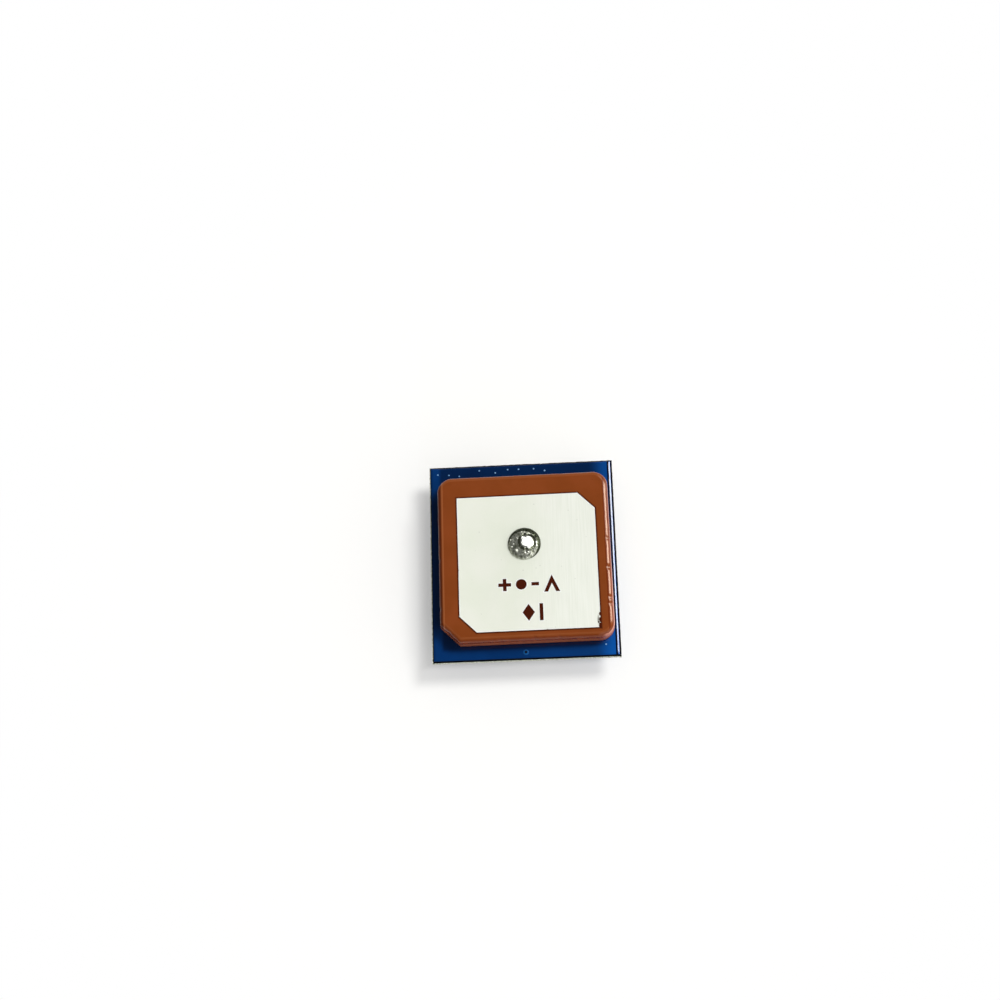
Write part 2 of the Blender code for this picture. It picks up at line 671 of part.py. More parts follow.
def hang(name, mesh, spot, turn=0.0):
    return place(name, mesh, (spot.x, spot.y, HANGING_SEAT), turn)


def moulded_chip(name, spot, height, material):
    """A leadless moulded chip with a dimple at its first pad."""
    edge = 2 * CHIP_EDGE
    levels = (
        (0.0, spot.wide, spot.long),
        (height - CHIP_EDGE, spot.wide, spot.long),
        (height, spot.wide - edge, spot.long - edge),
    )
    chip = hang(name, to_mesh(name, stepped_block(levels), material), spot)
    inset = min(DIMPLE_INSET, spot.long / 3)
    dimple = circle(DIMPLE_DIAMETER, centre=(inset - spot.wide / 2, spot.long / 2 - inset))
    cut(chip, name + "_dimple", prism([dimple], -height - CUT_OVERRUN, -height + DIMPLE_DEPTH))


def lidded_package(name, spot, height, material):
    """A ceramic base with a smaller metal lid."""
    base = height - LID_HEIGHT
    lid_width, lid_length = spot.wide - 2 * LID_INSET, spot.long - 2 * LID_INSET
    levels = (
        (0.0, spot.wide, spot.long),
        (base, spot.wide, spot.long),
        (base, lid_width, lid_length),
        (height - LID_EDGE, lid_width, lid_length),
        (height, lid_width - 2 * LID_EDGE, lid_length - 2 * LID_EDGE),
    )
    hang(name, to_mesh(name, stepped_block(levels), material), spot)


def voltage_regulator(spot):
    middle = REGULATOR_STANDOFF + REGULATOR_HEIGHT / 2
    draft = 2 * REGULATOR_DRAFT
    levels = (
        (REGULATOR_STANDOFF, REGULATOR_WIDTH - draft, REGULATOR_LENGTH - draft),
        (middle, REGULATOR_WIDTH, REGULATOR_LENGTH),
        (REGULATOR_STANDOFF + REGULATOR_HEIGHT, REGULATOR_WIDTH - draft, REGULATOR_LENGTH - draft),
    )
    black = paint("regulator_epoxy", 26, 26, 28, 0.55)
    regulator = hang("voltage_regulator", to_mesh("voltage_regulator", stepped_block(levels), black), spot)
    side = REGULATOR_LENGTH / 2
    upright = side + LEAD_REACH - LEAD_FOOT
    foot_level = -LEAD_THICKNESS / 2
    path = [(side / 2, -middle), (upright, -middle), (upright, foot_level), (side + LEAD_REACH, foot_level)]
    places = [(-LEAD_PITCH, 90), (0.0, 90), (LEAD_PITCH, 90), (-LEAD_PITCH, -90), (LEAD_PITCH, -90)]
    for number, (x, turn) in enumerate(places, start=1):
        lead = strip(path, LEAD_THICKNESS, LEAD_WIDTH)
        join(regulator, f"regulator_lead_{number}", lead, (x, 0, 0), turn)


def end_capped_chip(length, width, height):
    """A chip part along X, whose metal end caps stand a little proud of the body between them."""
    half, cap = length / 2, length * END_CAP_SHARE
    stations = (
        (-half, 0.0),
        (cap - half, 0.0),
        (cap - half, END_CAP_STEP),
        (half - cap, END_CAP_STEP),
        (half - cap, 0.0),
        (half, 0.0),
    )
    rings = []
    for x, inset in stations:
        side, top, bottom = width / 2 - inset, -inset, inset - height
        rings.append([(x, -side, top), (x, side, top), (x, side, bottom), (x, -side, bottom)])
    return loft(rings)


def hang_chips(prefix, mesh, spots):
    """Numbered copies of a two-ended chip, each turned to lie along its place."""
    for number, spot in spots:
        turn = 90.0 if spot.long > spot.wide else 0.0
        hang(f"{prefix}_{number}", mesh, spot, turn)


def status_led(name, spot, material):
    depth = LED_BASE_HEIGHT + LED_LENS_HEIGHT
    levels = (
        (0.0, LARGE_CHIP_LENGTH, LARGE_CHIP_WIDTH),
        (LED_BASE_HEIGHT, LARGE_CHIP_LENGTH, LARGE_CHIP_WIDTH),
        (LED_BASE_HEIGHT, LED_LENS_LENGTH, LARGE_CHIP_WIDTH),
        (depth, LED_LENS_LENGTH - LED_LENS_EDGE, LARGE_CHIP_WIDTH - LED_LENS_EDGE),
    )
    hang(name, to_mesh(name, stepped_block(levels), material), spot)


def underside_electronics(tab_end):
    """Every part soldered under the board, laid out from the feed pin, the socket, the cell and the edges."""
    feed = feed_point()
    cone = Spot(feed.x, feed.y, CONE_DIAMETER, CONE_DIAMETER)
    black = paint("chip_epoxy", 30, 30, 32, 0.5)
    receiver = beside(cone, LEFT, RECEIVER_SIZE, RECEIVER_SIZE, RECEIVER_GAP)
    flash = beside(receiver, FRONT, FLASH_WIDTH, FLASH_LENGTH, slide=-(RECEIVER_SIZE - FLASH_WIDTH) / 2)
    amplifier = beside(cone, RIGHT, AMPLIFIER_WIDTH, AMPLIFIER_LENGTH)
    moulded_chip("receiver_chip", receiver, RECEIVER_HEIGHT, black)
    moulded_chip("flash_memory_chip", flash, FLASH_HEIGHT, black)
    moulded_chip("amplifier_chip", amplifier, AMPLIFIER_HEIGHT, black)

    lid = paint("package_lid", 188, 182, 160, 0.35, 0.9)
    crystal = beside(receiver, LEFT, CRYSTAL_WIDTH, CRYSTAL_LENGTH)
    oscillator = beside(
        receiver, BACK, OSCILLATOR_WIDTH, OSCILLATOR_LENGTH, slide=-(RECEIVER_SIZE - OSCILLATOR_WIDTH) / 2
    )
    saw = beside(amplifier, RIGHT, FILTER_WIDTH, FILTER_LENGTH)
    lidded_package("clock_crystal", crystal, CRYSTAL_HEIGHT, lid)
    lidded_package("oscillator", oscillator, OSCILLATOR_HEIGHT, lid)
    lidded_package("saw_filter", saw, FILTER_HEIGHT, lid)

    regulator_length = REGULATOR_LENGTH + 2 * LEAD_REACH
    regulator_x = BOARD_WIDTH / 2 - EDGE_MARGIN - REGULATOR_WIDTH / 2
    regulator = Spot(regulator_x, REGULATOR_Y, REGULATOR_WIDTH, regulator_length)
    voltage_regulator(regulator)

    led_x = BOARD_WIDTH / 2 - EDGE_MARGIN - LARGE_CHIP_LENGTH / 2
    led_y = BOARD_LENGTH / 2 - EDGE_MARGIN - LARGE_CHIP_WIDTH / 2
    red_led = Spot(-led_x, led_y, LARGE_CHIP_LENGTH, LARGE_CHIP_WIDTH)
    blue_led = Spot(led_x, led_y, LARGE_CHIP_LENGTH, LARGE_CHIP_WIDTH)
    status_led("status_led_red", red_led, paint("led_red", 214, 120, 96, 0.3))
    status_led("status_led_blue", blue_led, paint("led_blue", 200, 214, 222, 0.3))

    along = (SMALL_CHIP_LENGTH, SMALL_CHIP_WIDTH)
    upright = (SMALL_CHIP_WIDTH, SMALL_CHIP_LENGTH)
    large_upright = (LARGE_CHIP_WIDTH, LARGE_CHIP_LENGTH)
    foot_end = BOARD_LENGTH / 2 - MOUTH_INSET - HOUSING_DEPTH - CONTACT_STANDOFF - CONTACT_FOOT
    feet = [Spot(x, foot_end, CONTACT_WIDTH, CONTACT_WIDTH) for x in contact_places()]
    first_cell_capacitor = beside(tab_end, BACK, *along)
    capacitors = (
        beside(amplifier, FRONT, *along),
        beside(saw, FRONT, *along),
        beside(crystal, BACK, *along),
        beside(crystal, FRONT, *along),
        beside(oscillator, RIGHT, *upright),
        beside(oscillator, LEFT, *upright),
        first_cell_capacitor,
        beside(first_cell_capacitor, RIGHT, *along),
    )
    large_slide = (LARGE_CHIP_WIDTH + PART_GAP) / 2
    large_capacitors = (
        beside(regulator, FRONT, *large_upright, slide=-large_slide),
        beside(regulator, FRONT, *large_upright, slide=large_slide),
    )
    flash_resistor = beside(flash, LEFT, *upright)
    resistors = (
        beside(feet[1], FRONT, *upright),
        beside(feet[2], FRONT, *upright),
        beside(red_led, FRONT, *along),
        beside(blue_led, FRONT, *along),
        flash_resistor,
        beside(flash_resistor, LEFT, *upright),
    )
    inductors = (beside(amplifier, BACK, *along), beside(saw, BACK, *along))
    ferrite = beside(regulator, LEFT, *large_upright)

    beige = paint("capacitor_ceramic", 176, 144, 108, 0.5)
    bm = end_capped_chip(SMALL_CHIP_LENGTH, SMALL_CHIP_WIDTH, CAPACITOR_HEIGHT)
    small_capacitor = to_mesh("small_capacitor", bm, beige)
    bm = end_capped_chip(LARGE_CHIP_LENGTH, LARGE_CHIP_WIDTH, LARGE_CAPACITOR_HEIGHT)
    large_capacitor = to_mesh("large_capacitor", bm, beige)
    bm = end_capped_chip(SMALL_CHIP_LENGTH, SMALL_CHIP_WIDTH, RESISTOR_HEIGHT)
    resistor = to_mesh("resistor", bm, paint("resistor_glaze", 28, 28, 30, 0.3))
    bm = end_capped_chip(SMALL_CHIP_LENGTH, SMALL_CHIP_WIDTH, CAPACITOR_HEIGHT)
    inductor = to_mesh("inductor", bm, paint("inductor_ceramic", 214, 216, 214, 0.5))
    bm = end_capped_chip(LARGE_CHIP_LENGTH, LARGE_CHIP_WIDTH, FERRITE_HEIGHT)
    ferrite_mesh = to_mesh("ferrite_bead", bm, paint("ferrite_grey", 62, 60, 60, 0.45))

    hang_chips("capacitor", small_capacitor, enumerate(capacitors, start=1))
    hang_chips("capacitor", large_capacitor, enumerate(large_capacitors, start=len(capacitors) + 1))
    hang_chips("resistor", resistor, enumerate(resistors, start=1))
    hang_chips("inductor", inductor, enumerate(inductors, start=1))
    hang("ferrite_bead", ferrite_mesh, ferrite, turn=90.0)


def main():
    clear_scene()
    circuit_board()
    antenna_seat = bpy.data.objects.new("antenna_seat", None)
    antenna_seat.location = (ANTENNA_OFFSET[0] * MM, ANTENNA_OFFSET[1] * MM, 0)
    antenna_seat.rotation_euler.z = math.radians(ANTENNA_TURN)
    bpy.context.collection.objects.link(antenna_seat)
    antenna_tape(antenna_seat)
    antenna_ceramic(antenna_seat)
    antenna_electrodes(antenna_seat)
    feed_pin(antenna_seat)
    feed_solder(antenna_seat)
    connector_housing()
    connector_contacts()
    tab_end = backup_cell()
    underside_electronics(tab_end)


main()
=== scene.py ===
"""Looks of a small positioning module: a ceramic patch antenna on a circuit board, on a white table.

Pieces are modelled in millimetres, where the frame has their nodes, and become metres as they are
finished. +Z points up out of the antenna, and +Y out of the socket's mouth.
"""

import math
from contextlib import contextmanager

import bmesh
import bpy
from mathutils import Matrix, Vector, noise


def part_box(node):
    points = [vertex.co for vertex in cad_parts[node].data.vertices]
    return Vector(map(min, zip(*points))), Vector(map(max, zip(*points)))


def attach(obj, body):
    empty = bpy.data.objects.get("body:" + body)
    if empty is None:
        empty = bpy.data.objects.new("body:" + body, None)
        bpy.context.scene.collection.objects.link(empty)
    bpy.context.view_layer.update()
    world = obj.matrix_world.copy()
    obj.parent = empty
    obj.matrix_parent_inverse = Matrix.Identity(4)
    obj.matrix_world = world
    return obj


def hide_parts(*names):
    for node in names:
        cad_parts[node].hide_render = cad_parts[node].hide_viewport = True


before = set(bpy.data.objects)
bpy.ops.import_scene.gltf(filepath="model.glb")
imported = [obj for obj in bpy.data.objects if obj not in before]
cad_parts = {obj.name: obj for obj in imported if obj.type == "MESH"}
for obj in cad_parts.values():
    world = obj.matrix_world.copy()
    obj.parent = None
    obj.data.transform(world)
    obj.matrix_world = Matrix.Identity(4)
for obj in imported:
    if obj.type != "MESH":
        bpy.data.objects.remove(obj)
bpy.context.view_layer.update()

MM = 0.001
BODY = "root"

# Camera and lights
CAMERA_PLACE = (6.03, -52.6, 178.24)
CAMERA_AIM = (-2.32, 6.86, 3.96)
CAMERA_ROLL = -10.12
CAMERA_LENS = 61.1
KEY_DIRECTION = (0.50, 0.30, 0.81)
KEY_STRENGTH = 1.88
KEY_ANGLE = 18.0
FILL_DIRECTION = (0.62, -0.70, 0.35)
FILL_STRENGTH = 0.35
FILL_ANGLE = 40.0
WINDOW_DIRECTION = (0.776, 0.32, 0.543)
WINDOW_TALL_AXIS = (-0.574, 0.0, 0.819)
WINDOW_DISTANCE = 0.6
WINDOW_SIZE = (0.13, 0.40)
WINDOW_POWER = 3.1  # it shows in reflections only
SKY_LEVEL = 0.53
SKY_TO_RIGHT = 0.6
CEILING_LEVEL = 0.035  # what shiny surfaces mirror overhead
CEILING_EDGES = (0.05, 0.35)
WALL_LEVEL = 0.26  # what they mirror low down, brighter in front and to the right
WALL_TO_RIGHT = 0.16
WALL_TO_FRONT = 0.26
PANELS = (  # bright ceiling panels that they mirror: direction, level, and the cosines of their edges
    ((0.47, 0.50, 0.72), 2.4, (0.945, 0.968)),
    ((0.84, -0.44, 0.32), 2.4, (0.97, 0.985)),
    ((0.67, -0.67, 0.32), 2.4, (0.97, 0.985)),
    ((0.44, -0.84, 0.32), 1.8, (0.97, 0.985)),
)
FLOOR_SIZE = 4.0
GLOW_MARGIN = 1.0  # the table lights the module's underside, this far inside the board's edge
FLOOR_CLEAR = (0.01, 0.06)  # in metres from the middle, where its shading fades to plain white
FLOOR_LIFT = 0.44  # and starts this far towards it
CLOSE_LIFT = 0.24  # but less far where the board's left side hides the table from the light
CLOSE_TO_LEFT = (-12.0, -10.6)
CLOSE_TO_FRONT = (-9.5, -11.0)

# Circuit board
BOARD_LOW, BOARD_HIGH = (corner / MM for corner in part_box("circuit_board"))
TORN_LEDGE = 0.21
PALE_FRINGES = (0.1, 0.06)  # the torn web shows bare glass fibre this far in, on the left and in front
SCORE_DEPTH = 0.32
SHOULDER_RADIUS = 0.42
SHOULDER_TILTS = (41, 36, 31, 26, 21, 16, 11, 6, 0)  # degrees, from the side of the board inwards
WEB_ROUGHNESS = 0.06
WEB_STEP = 0.13
WEB_LAYERS = 3

SHADE_FROM_SIDE = (8.7, 9.1)  # painted shade darkens the mask along the two sides of the board
SHADE_TO_END = (6.4, 8.6)
LIT_FROM_LEFT = (7.3, 9.3)  # painted light makes it brighter at the right end, and most of all in front there
LIT_TO_BACK = (-10.0, 10.0, 0.95, 0.4)
FOOT_TO_BACK = (-10.05, -9.45)  # and painted shadow darkens it in front of the ceramic's foot, but not at the corners
FOOT_FROM_LEFT = (-9.1, -8.6)
FOOT_TO_RIGHT = (7.2, 9.3, 0.6, 0.0)
PAINTED_DARK_LINE = (9.38, 9.45, 9.6, 9.64)  # a line of painted shade darkens the mask where the right shoulder starts

TOP_VIAS = (
    (-9.04, 10.05), (-7.83, 9.96), (-6.7, 9.79), (-4.5, 10.32), (-2.76, 10.01), (-1.39, 10.32),
    (-0.2, 10.3), (1.45, 10.29), (2.64, 10.03), (8.41, -9.67),
)
VIA_PROFILE = ((0.09, -0.01), (0.085, 0.01), (0.07, 0.02), (0.05, 0.024), (0.03, 0.02), (0.012, 0.015))
OPEN_VIA = (-0.05, -10.18)
OPEN_VIA_COLLAR = ((0.3, -0.01), (0.29, 0.012), (0.25, 0.022), (0.19, 0.02), (0.14, 0.004))
OPEN_VIA_HOLE = ((0.15, -0.01), (0.145, 0.007))
TRACE_HEIGHT = 0.03
INK_HEIGHT = 0.016
INK_LINE = 0.1
INK_OUTLINE = 0.12
OUTLINED = (  # margin and length of the ink corners round each part
    ("oscillator", 0.3, 0.45),
    ("clock_crystal", 0.3, 0.45),
    ("voltage_regulator", 0.25, 0.45),
    ("flash_memory_chip", 0.35, 0.45),
    ("receiver_chip", 0.28, 0.3),
)
UNDERSIDE_VIAS = (
    (-6.7, 9.79), (-4.5, 10.32), (-0.05, -10.18), (8.41, -9.67), (-9.3, 5.2), (-9.3, 1.0), (-9.2, -3.6),
    (-8.6, -7.6), (-6.2, -8.6), (-4.9, -9.9), (6.2, -8.9), (7.9, -7.2), (9.2, -2.4), (9.3, 0.6),
    (5.8, 0.6), (3.4, 3.6), (2.6, 4.1), (5.9, 7.4), (4.9, 9.4), (-5.3, 7.6), (-9.0, 7.4), (3.3, -1.6),
)

# Ceramic
CERAMIC_SIZE = 18.34
CERAMIC_CORNER = 1.55
CERAMIC_FLAT_CORNER = 2.0
CERAMIC_RIM = 0.58
CERAMIC_FOOT = 0.12
FLAT_MARGIN = 0.1
ANTENNA_TURN = math.radians(0.24)
ELECTRODE_CENTRE = (0.523, -0.929)
ELECTRODE_HALF = (7.37, 7.45)
ELECTRODE_CUT = 1.78
RIM_LIGHT_AND_SHADE = (  # painted highlights and shade round the rim: axis, where along it each tint starts, is full, and ends again, its strength and colour
    # a painted highlight along the top, painted shade below it and at the right, a painted highlight at the
    # left
    (2, (6.03, 6.07, 6.108, 6.118), 0.3, (160, 92, 54)),
    (2, (5.3, 5.6, 5.92, 6.02), 0.8, (112, 40, 10)),
    (0, (8.72, 8.8, 8.92, 9.0), 0.7, (104, 36, 8)),
    (0, (-8.54, -8.48, -8.42, -8.34), 0.6, (168, 98, 58)),
)
LEFT_RIM_SHADE = (-8.54, -8.66)  # further left than this the rim has painted shade and mirrors little
PINK_REFLECTION_LEVELS = (4.5, 4.9, 5.8, 5.9)  # a painted pale pink reflection lies on the right side, and most of all towards its front end
PINK_REFLECTION_FROM_LEFT = (8.0, 8.7)
PINK_REFLECTION_TO_CORNER = (8.0, 10.6, 0.25, 0.7)
SIDE_LEVELS = (4.85, 5.35)  # below these heights painted light makes the ceramic's sides paler, and they are rougher
STAIN_EDGES = (0.06, 0.24)  # the ceramic is darker under the silver and this far round it
ELECTRODE_EDGE = 0.1
ELECTRODE_BEAD = 0.006  # the edge stands this much above the rest of the silver
# from left to right the lighter brushing spreads to this share: real brushing, and painted light on the
# right
STREAKS_AND_LIGHT_FROM_LEFT = (-2.0, 6.0, 0.0, 0.85)
ELECTRODE_NICKS = (  # place, size and stretch along Y of each spot where the silver is worn off
    (7.92, -6.95, 0.13, 0.8),
    (7.95, -7.55, 0.15, 1.2),
    (7.88, -8.15, 0.16, 0.9),
    (7.72, -7.8, 0.08, 0.6),
    (2.35, -8.42, 0.1, 0.2),
    (-6.86, -1.52, 0.07, 0.6),
)
WORN_PLACE = (7.8, -7.6)
WORN_SIZE = (0.32, 0.95)
RIM_STEP = 0.14
RIM_WAVE = 0.03
RIM_CHIPS = (  # place, size and depth of each chip
    (9.05, -1.85, 0.24, 0.05),
    (9.10, -5.14, 0.22, 0.06),
    (9.15, -5.85, 0.26, 0.05),
    (9.08, 1.35, 0.20, 0.04),
    (8.40, -9.00, 0.30, 0.06),
    (8.00, -9.15, 0.25, 0.05),
    (3.61, -9.22, 0.26, 0.05),
    (1.00, -9.24, 0.30, 0.05),
    (-2.6, -9.26, 0.22, 0.04),
    (-8.85, -5.6, 0.22, 0.04),
    (-8.9, -0.3, 0.20, 0.04),
    (-8.0, -8.3, 0.26, 0.05),
)

# Feed pin and solder
DOME_STEP = 0.035
DOME_SHAPE = (2.0, 0.62)
DOME_SHIFT = (0.0, 0.1)
DOME_SPREAD = 1.03
CROWN_SHIFT = (0.34, 0.03)  # a smooth facet on the dome, which leans to the right and back
CROWN_RADIUS = 0.78
CROWN_LEAN = (0.24, 0.11)
CROWN_CURVE = 6.0
CROWN_RAGGED = 0.3
DOME_GLINTS = (  # place from the dome's middle, and radius, of small facets that lean like the crown
    (-0.78, -0.83, 0.17), (-1.14, -0.12, 0.1), (-1.3, -0.4, 0.1), (-1.42, 0.4, 0.1),
    (0.1, -1.12, 0.13), (0.9, 1.0, 0.1), (-0.2, 1.17, 0.1), (0.45, 1.2, 0.1),
)
CROWN_DROP = 0.16
DARK_ARC_MIDDLE = (-0.14, -0.28)  # from the dome's middle: solder further than this from it is dark, as a painted dark reflection
DARK_ARC = (1.46, 1.62)
DOME_MARGIN = 0.06  # the dome without its wrinkles stays this far below the solid's top
PIN_DIAMETER = 0.9
PIN_TIP_RADIUS = 0.12
CONE_LIP = 0.12
HEAD_THICKNESS = 0.25

# Parts under the board, seen from below with their own height pointing away from it
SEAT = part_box("receiver_chip")[1].z / MM
BOARD_GAP = BOARD_LOW.z - SEAT
TURNED_OVER = Matrix.Rotation(math.pi, 4, "X")
CHIP_SIZES = {  # length, width and height
    "small_capacitor": (1.0, 0.5, 0.5),
    "large_capacitor": (1.6, 0.8, 0.8),
    "resistor": (1.0, 0.5, 0.35),
    "inductor": (1.0, 0.5, 0.5),
    "ferrite": (1.6, 0.8, 0.7),
}
END_CAP_SHARE = 0.24
END_CAP_STEP = 0.02
END_CAP_EDGE = 0.045
END_CAP_SOLDER = (0.92, 0.17, 0.62)  # share of the width, reach, and share of the height
CORE_EDGE = 0.03
GLAZE_MARGIN = 0.03
GLAZE_DEPTH = 0.04
GLAZE_EDGE = 0.018
CHIP_EDGE = 0.035
DIMPLE_RADIUS = 0.2
DIMPLE_DEPTH = 0.05
DIMPLE_INSET = 0.5
PAD_THICKNESS = 0.02
PAD_EDGE = 0.008
PAD_MARGIN = 0.03
PAD_REACH = 0.2
LID_INSET = 0.12
LID_HEIGHT = 0.3
LID_RIM = 0.07
LID_CORNER = 0.12
LID_STEP = 0.025
CASTELLATION_RADIUS = 0.14
REGULATOR_SIZE = (2.9, 1.6, 1.1)
REGULATOR_STANDOFF = 0.05
REGULATOR_DRAFT = 0.1
LEAD_PITCH = 0.95
LEAD_WIDTH = 0.4
LEAD_THICKNESS = 0.15
LEAD_REACH = 0.6
LEAD_FOOT = 0.35
LEAD_BEND = 0.16
LEAD_PAD_HALF = 0.25
REGULATOR_DIMPLE = (0.45, 0.4)  # in from the corner
LED_BASE_HEIGHT = 0.25
LED_LENS_LENGTH = 1.0
LED_LENS_EDGE = 0.12
LED_NOTCH_RADIUS = 0.2
LED_SOLDER_OFFSET = 0.29

# Backup cell
CELL_GROOVE = (2.8, 2.92, 0.3)  # inner and outer radius, and depth
CELL_LIP_RADIUS = 0.35
CELL_CORNER_RADIUS = 0.25
TAB_WIDTH = 1.6
WELD_RADIUS = 0.28
WELD_DEPTH = 0.06
WELD_OFFSETS = [(x, y) for x in (-0.9, 0.9) for y in (-0.35, 0.35)]  # from the cell's middle
TAB_SOLDER = (0.2, 0.12)

# Socket: the edge radius, outward direction and solder of its contacts and anchors
SOCKET_LEADS = [(f"contact_{number}", 0.025, (0, -1), (0.32, 0.22, 0.16)) for number in range(1, 5)]
SOCKET_LEADS.append(("anchor_left", 0.02, (-1, 0), (1.3, 0.25, 0.14)))
SOCKET_LEADS.append(("anchor_right", 0.02, (1, 0), (1.3, 0.25, 0.14)))


def span(name):
    """A node's lowest and highest corners, in millimetres."""
    return [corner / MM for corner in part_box(name)]


def size_of(node_name):
    low, high = span(node_name)
    return high - low


def side_of(node_name, x=0.0, y=0.0):
    """A place on a node, from its middle towards its sides."""
    low, high = span(node_name)
    centre, half = (low + high) / 2, (high - low) / 2
    return Vector((centre.x + half.x * x, centre.y + half.y * y))


def screen(red, green, blue):
    """A colour as a screen shows it, each part from 0 to 255, in the shader's numbers."""
    levels = [level / 255 for level in (red, green, blue)]
    linear = [v / 12.92 if v < 0.04045 else ((v + 0.055) / 1.055) ** 2.4 for v in levels]
    return (*linear, 1.0)


def node(tree, kind, inputs=None, **settings):
    """A shader node with its settings, whose inputs are values or other nodes' outputs."""
    made = tree.nodes.new(kind)
    for setting, value in settings.items():
        setattr(made, setting, value)
    for key, value in (inputs or {}).items():
        if isinstance(value, bpy.types.NodeSocket):
            tree.links.new(value, made.inputs[key])
        else:
            made.inputs[key].default_value = value
    return made


def math_node(tree, operation, *values, clamp=False):
    made = node(tree, "ShaderNodeMath", dict(enumerate(values)), operation=operation, use_clamp=clamp)
    return made.outputs[0]


def mix_colour(tree, factor, low, high):
    inputs = {"Factor": factor, 6: low, 7: high}
    return node(tree, "ShaderNodeMix", inputs, data_type="RGBA").outputs[2]


def spread(tree, value, low, high, to_low=0.0, to_high=1.0):
    """A value brought from one range to another, and kept in it."""
    inputs = {0: value, 1: low, 2: high, 3: to_low, 4: to_high}
    return node(tree, "ShaderNodeMapRange", inputs, interpolation_type="SMOOTHSTEP").outputs[0]


def times(tree, first, *others):
    """Values multiplied together."""
    for other in others:
        first = math_node(tree, "MULTIPLY", first, other)
    return first


def absolute(tree, value):
    return math_node(tree, "ABSOLUTE", value)


def band(tree, value, start, full, still_full, end):
    """1 in the middle of a range of values, and 0 beyond both its ends."""
    return times(tree, spread(tree, value, start, full), spread(tree, value, still_full, end, 1.0, 0.0))


def clouds(tree, place, scale, detail):
    return node(tree, "ShaderNodeTexNoise", {"Vector": place, "Scale": scale, "Detail": detail}).outputs[0]


def axes_of(tree, place):
    return node(tree, "ShaderNodeSeparateXYZ", {0: place}).outputs


def vector_math(tree, operation, *values):
    """A vector, or a number for a length, a distance or a dot product."""
    made = node(tree, "ShaderNodeVectorMath", dict(enumerate(values)), operation=operation)
    return made.outputs["Value" if operation in ("LENGTH", "DISTANCE", "DOT_PRODUCT") else "Vector"]


def tinted(tree, colour, tint, share, strength=1.0):
    """A colour with a tint, given as a screen shows it, laid over a share of it."""
    return mix_colour(tree, times(tree, share, strength), colour, screen(*tint))


def new_group(name, inputs, outputs):
    """An empty node group with sockets of (name, kind, value), and its two end nodes."""
    tree = bpy.data.node_groups.new(name, "ShaderNodeTree")
    for socket, kind, value in inputs:
        made = tree.interface.new_socket(socket, in_out="INPUT", socket_type="NodeSocket" + kind)
        if value is not None:
            made.default_value = value
    for socket, kind in outputs:
        tree.interface.new_socket(socket, in_out="OUTPUT", socket_type="NodeSocket" + kind)
    return tree, tree.nodes.new("NodeGroupInput"), tree.nodes.new("NodeGroupOutput")


def mottle_group():
    """Two shades of a colour in soft clouds."""
    sockets = [("Vector", "Vector", None), ("Scale", "Float", 1.0)]
    sockets += [("Dark", "Color", None), ("Light", "Color", None)]
    tree, given, result = new_group("mottle", sockets, [("Color", "Color")])
    share = spread(tree, clouds(tree, given.outputs[0], given.outputs[1], 5.0), 0.32, 0.68)
    tree.links.new(mix_colour(tree, share, given.outputs[2], given.outputs[3]), result.inputs[0])
    return tree


def grain_group():
    """A fine raised grain, with its height in metres."""
    sockets = [("Vector", "Vector", None), ("Scale", "Float", 10.0), ("Height", "Float", 0.00001)]
    tree, given, result = new_group("grain", sockets, [("Normal", "Vector")])
    grains = clouds(tree, given.outputs[0], given.outputs[1], 4.0)
    bump = node(tree, "ShaderNodeBump", {"Distance": given.outputs[2], "Height": grains})
    tree.links.new(bump.outputs[0], result.inputs[0])
    return tree


def specks_group():
    """Small scattered spots: a share of the cells of a scatter has one."""
    sockets = [("Vector", "Vector", None)]
    sockets += [(name, "Float", value) for name, value in (("Scale", 3.0), ("Share", 0.2), ("Size", 0.2))]
    tree, given, result = new_group("specks", sockets, [("Mask", "Float")])
    cells = node(tree, "ShaderNodeTexVoronoi", {"Vector": given.outputs[0], "Scale": given.outputs[1]})
    luck = node(tree, "ShaderNodeSeparateColor", {0: cells.outputs["Color"]}).outputs[0]
    chosen = math_node(tree, "LESS_THAN", luck, given.outputs[2])
    near = math_node(tree, "LESS_THAN", cells.outputs["Distance"], given.outputs[3])
    tree.links.new(times(tree, chosen, near), result.inputs[0])
    return tree


MOTTLE, GRAIN, SPECKS = mottle_group(), grain_group(), specks_group()


def use(tree, group, *values):
    """A node group placed in a material with its own values."""
    return node(tree, "ShaderNodeGroup", dict(enumerate(values)), node_tree=group).outputs[0]


def mottled(tree, place, scale, dark, light):
    """Two shades, given as a screen shows them, in soft clouds."""
    return use(tree, MOTTLE, place, scale, screen(*dark), screen(*light))


def grained(tree, place, scale, height):
    return use(tree, GRAIN, place, scale, height)


def specks(tree, place, scale, share, size):
    return use(tree, SPECKS, place, scale, share, size)


def new_finish(name, roughness, metallic=0.0, **sockets):
    """A material with its plain values, and the place on its surface in millimetres."""
    material = bpy.data.materials.new(name)
    material.use_nodes = True
    tree = material.node_tree
    shader = tree.nodes["Principled BSDF"]
    shader.inputs["Roughness"].default_value = roughness
    shader.inputs["Metallic"].default_value = metallic
    for socket, value in sockets.items():
        shader.inputs[socket.replace("_", " ")].default_value = value
    spot = node(tree, "ShaderNodeTexCoord").outputs["Object"]
    place = node(tree, "ShaderNodeVectorMath", {0: spot, "Scale": 1 / MM}, operation="SCALE").outputs[0]
    return material, tree, shader, place


def feed(tree, shader, **sockets):
    for socket, value in sockets.items():
        tree.links.new(value, shader.inputs[socket.replace("_", " ")])


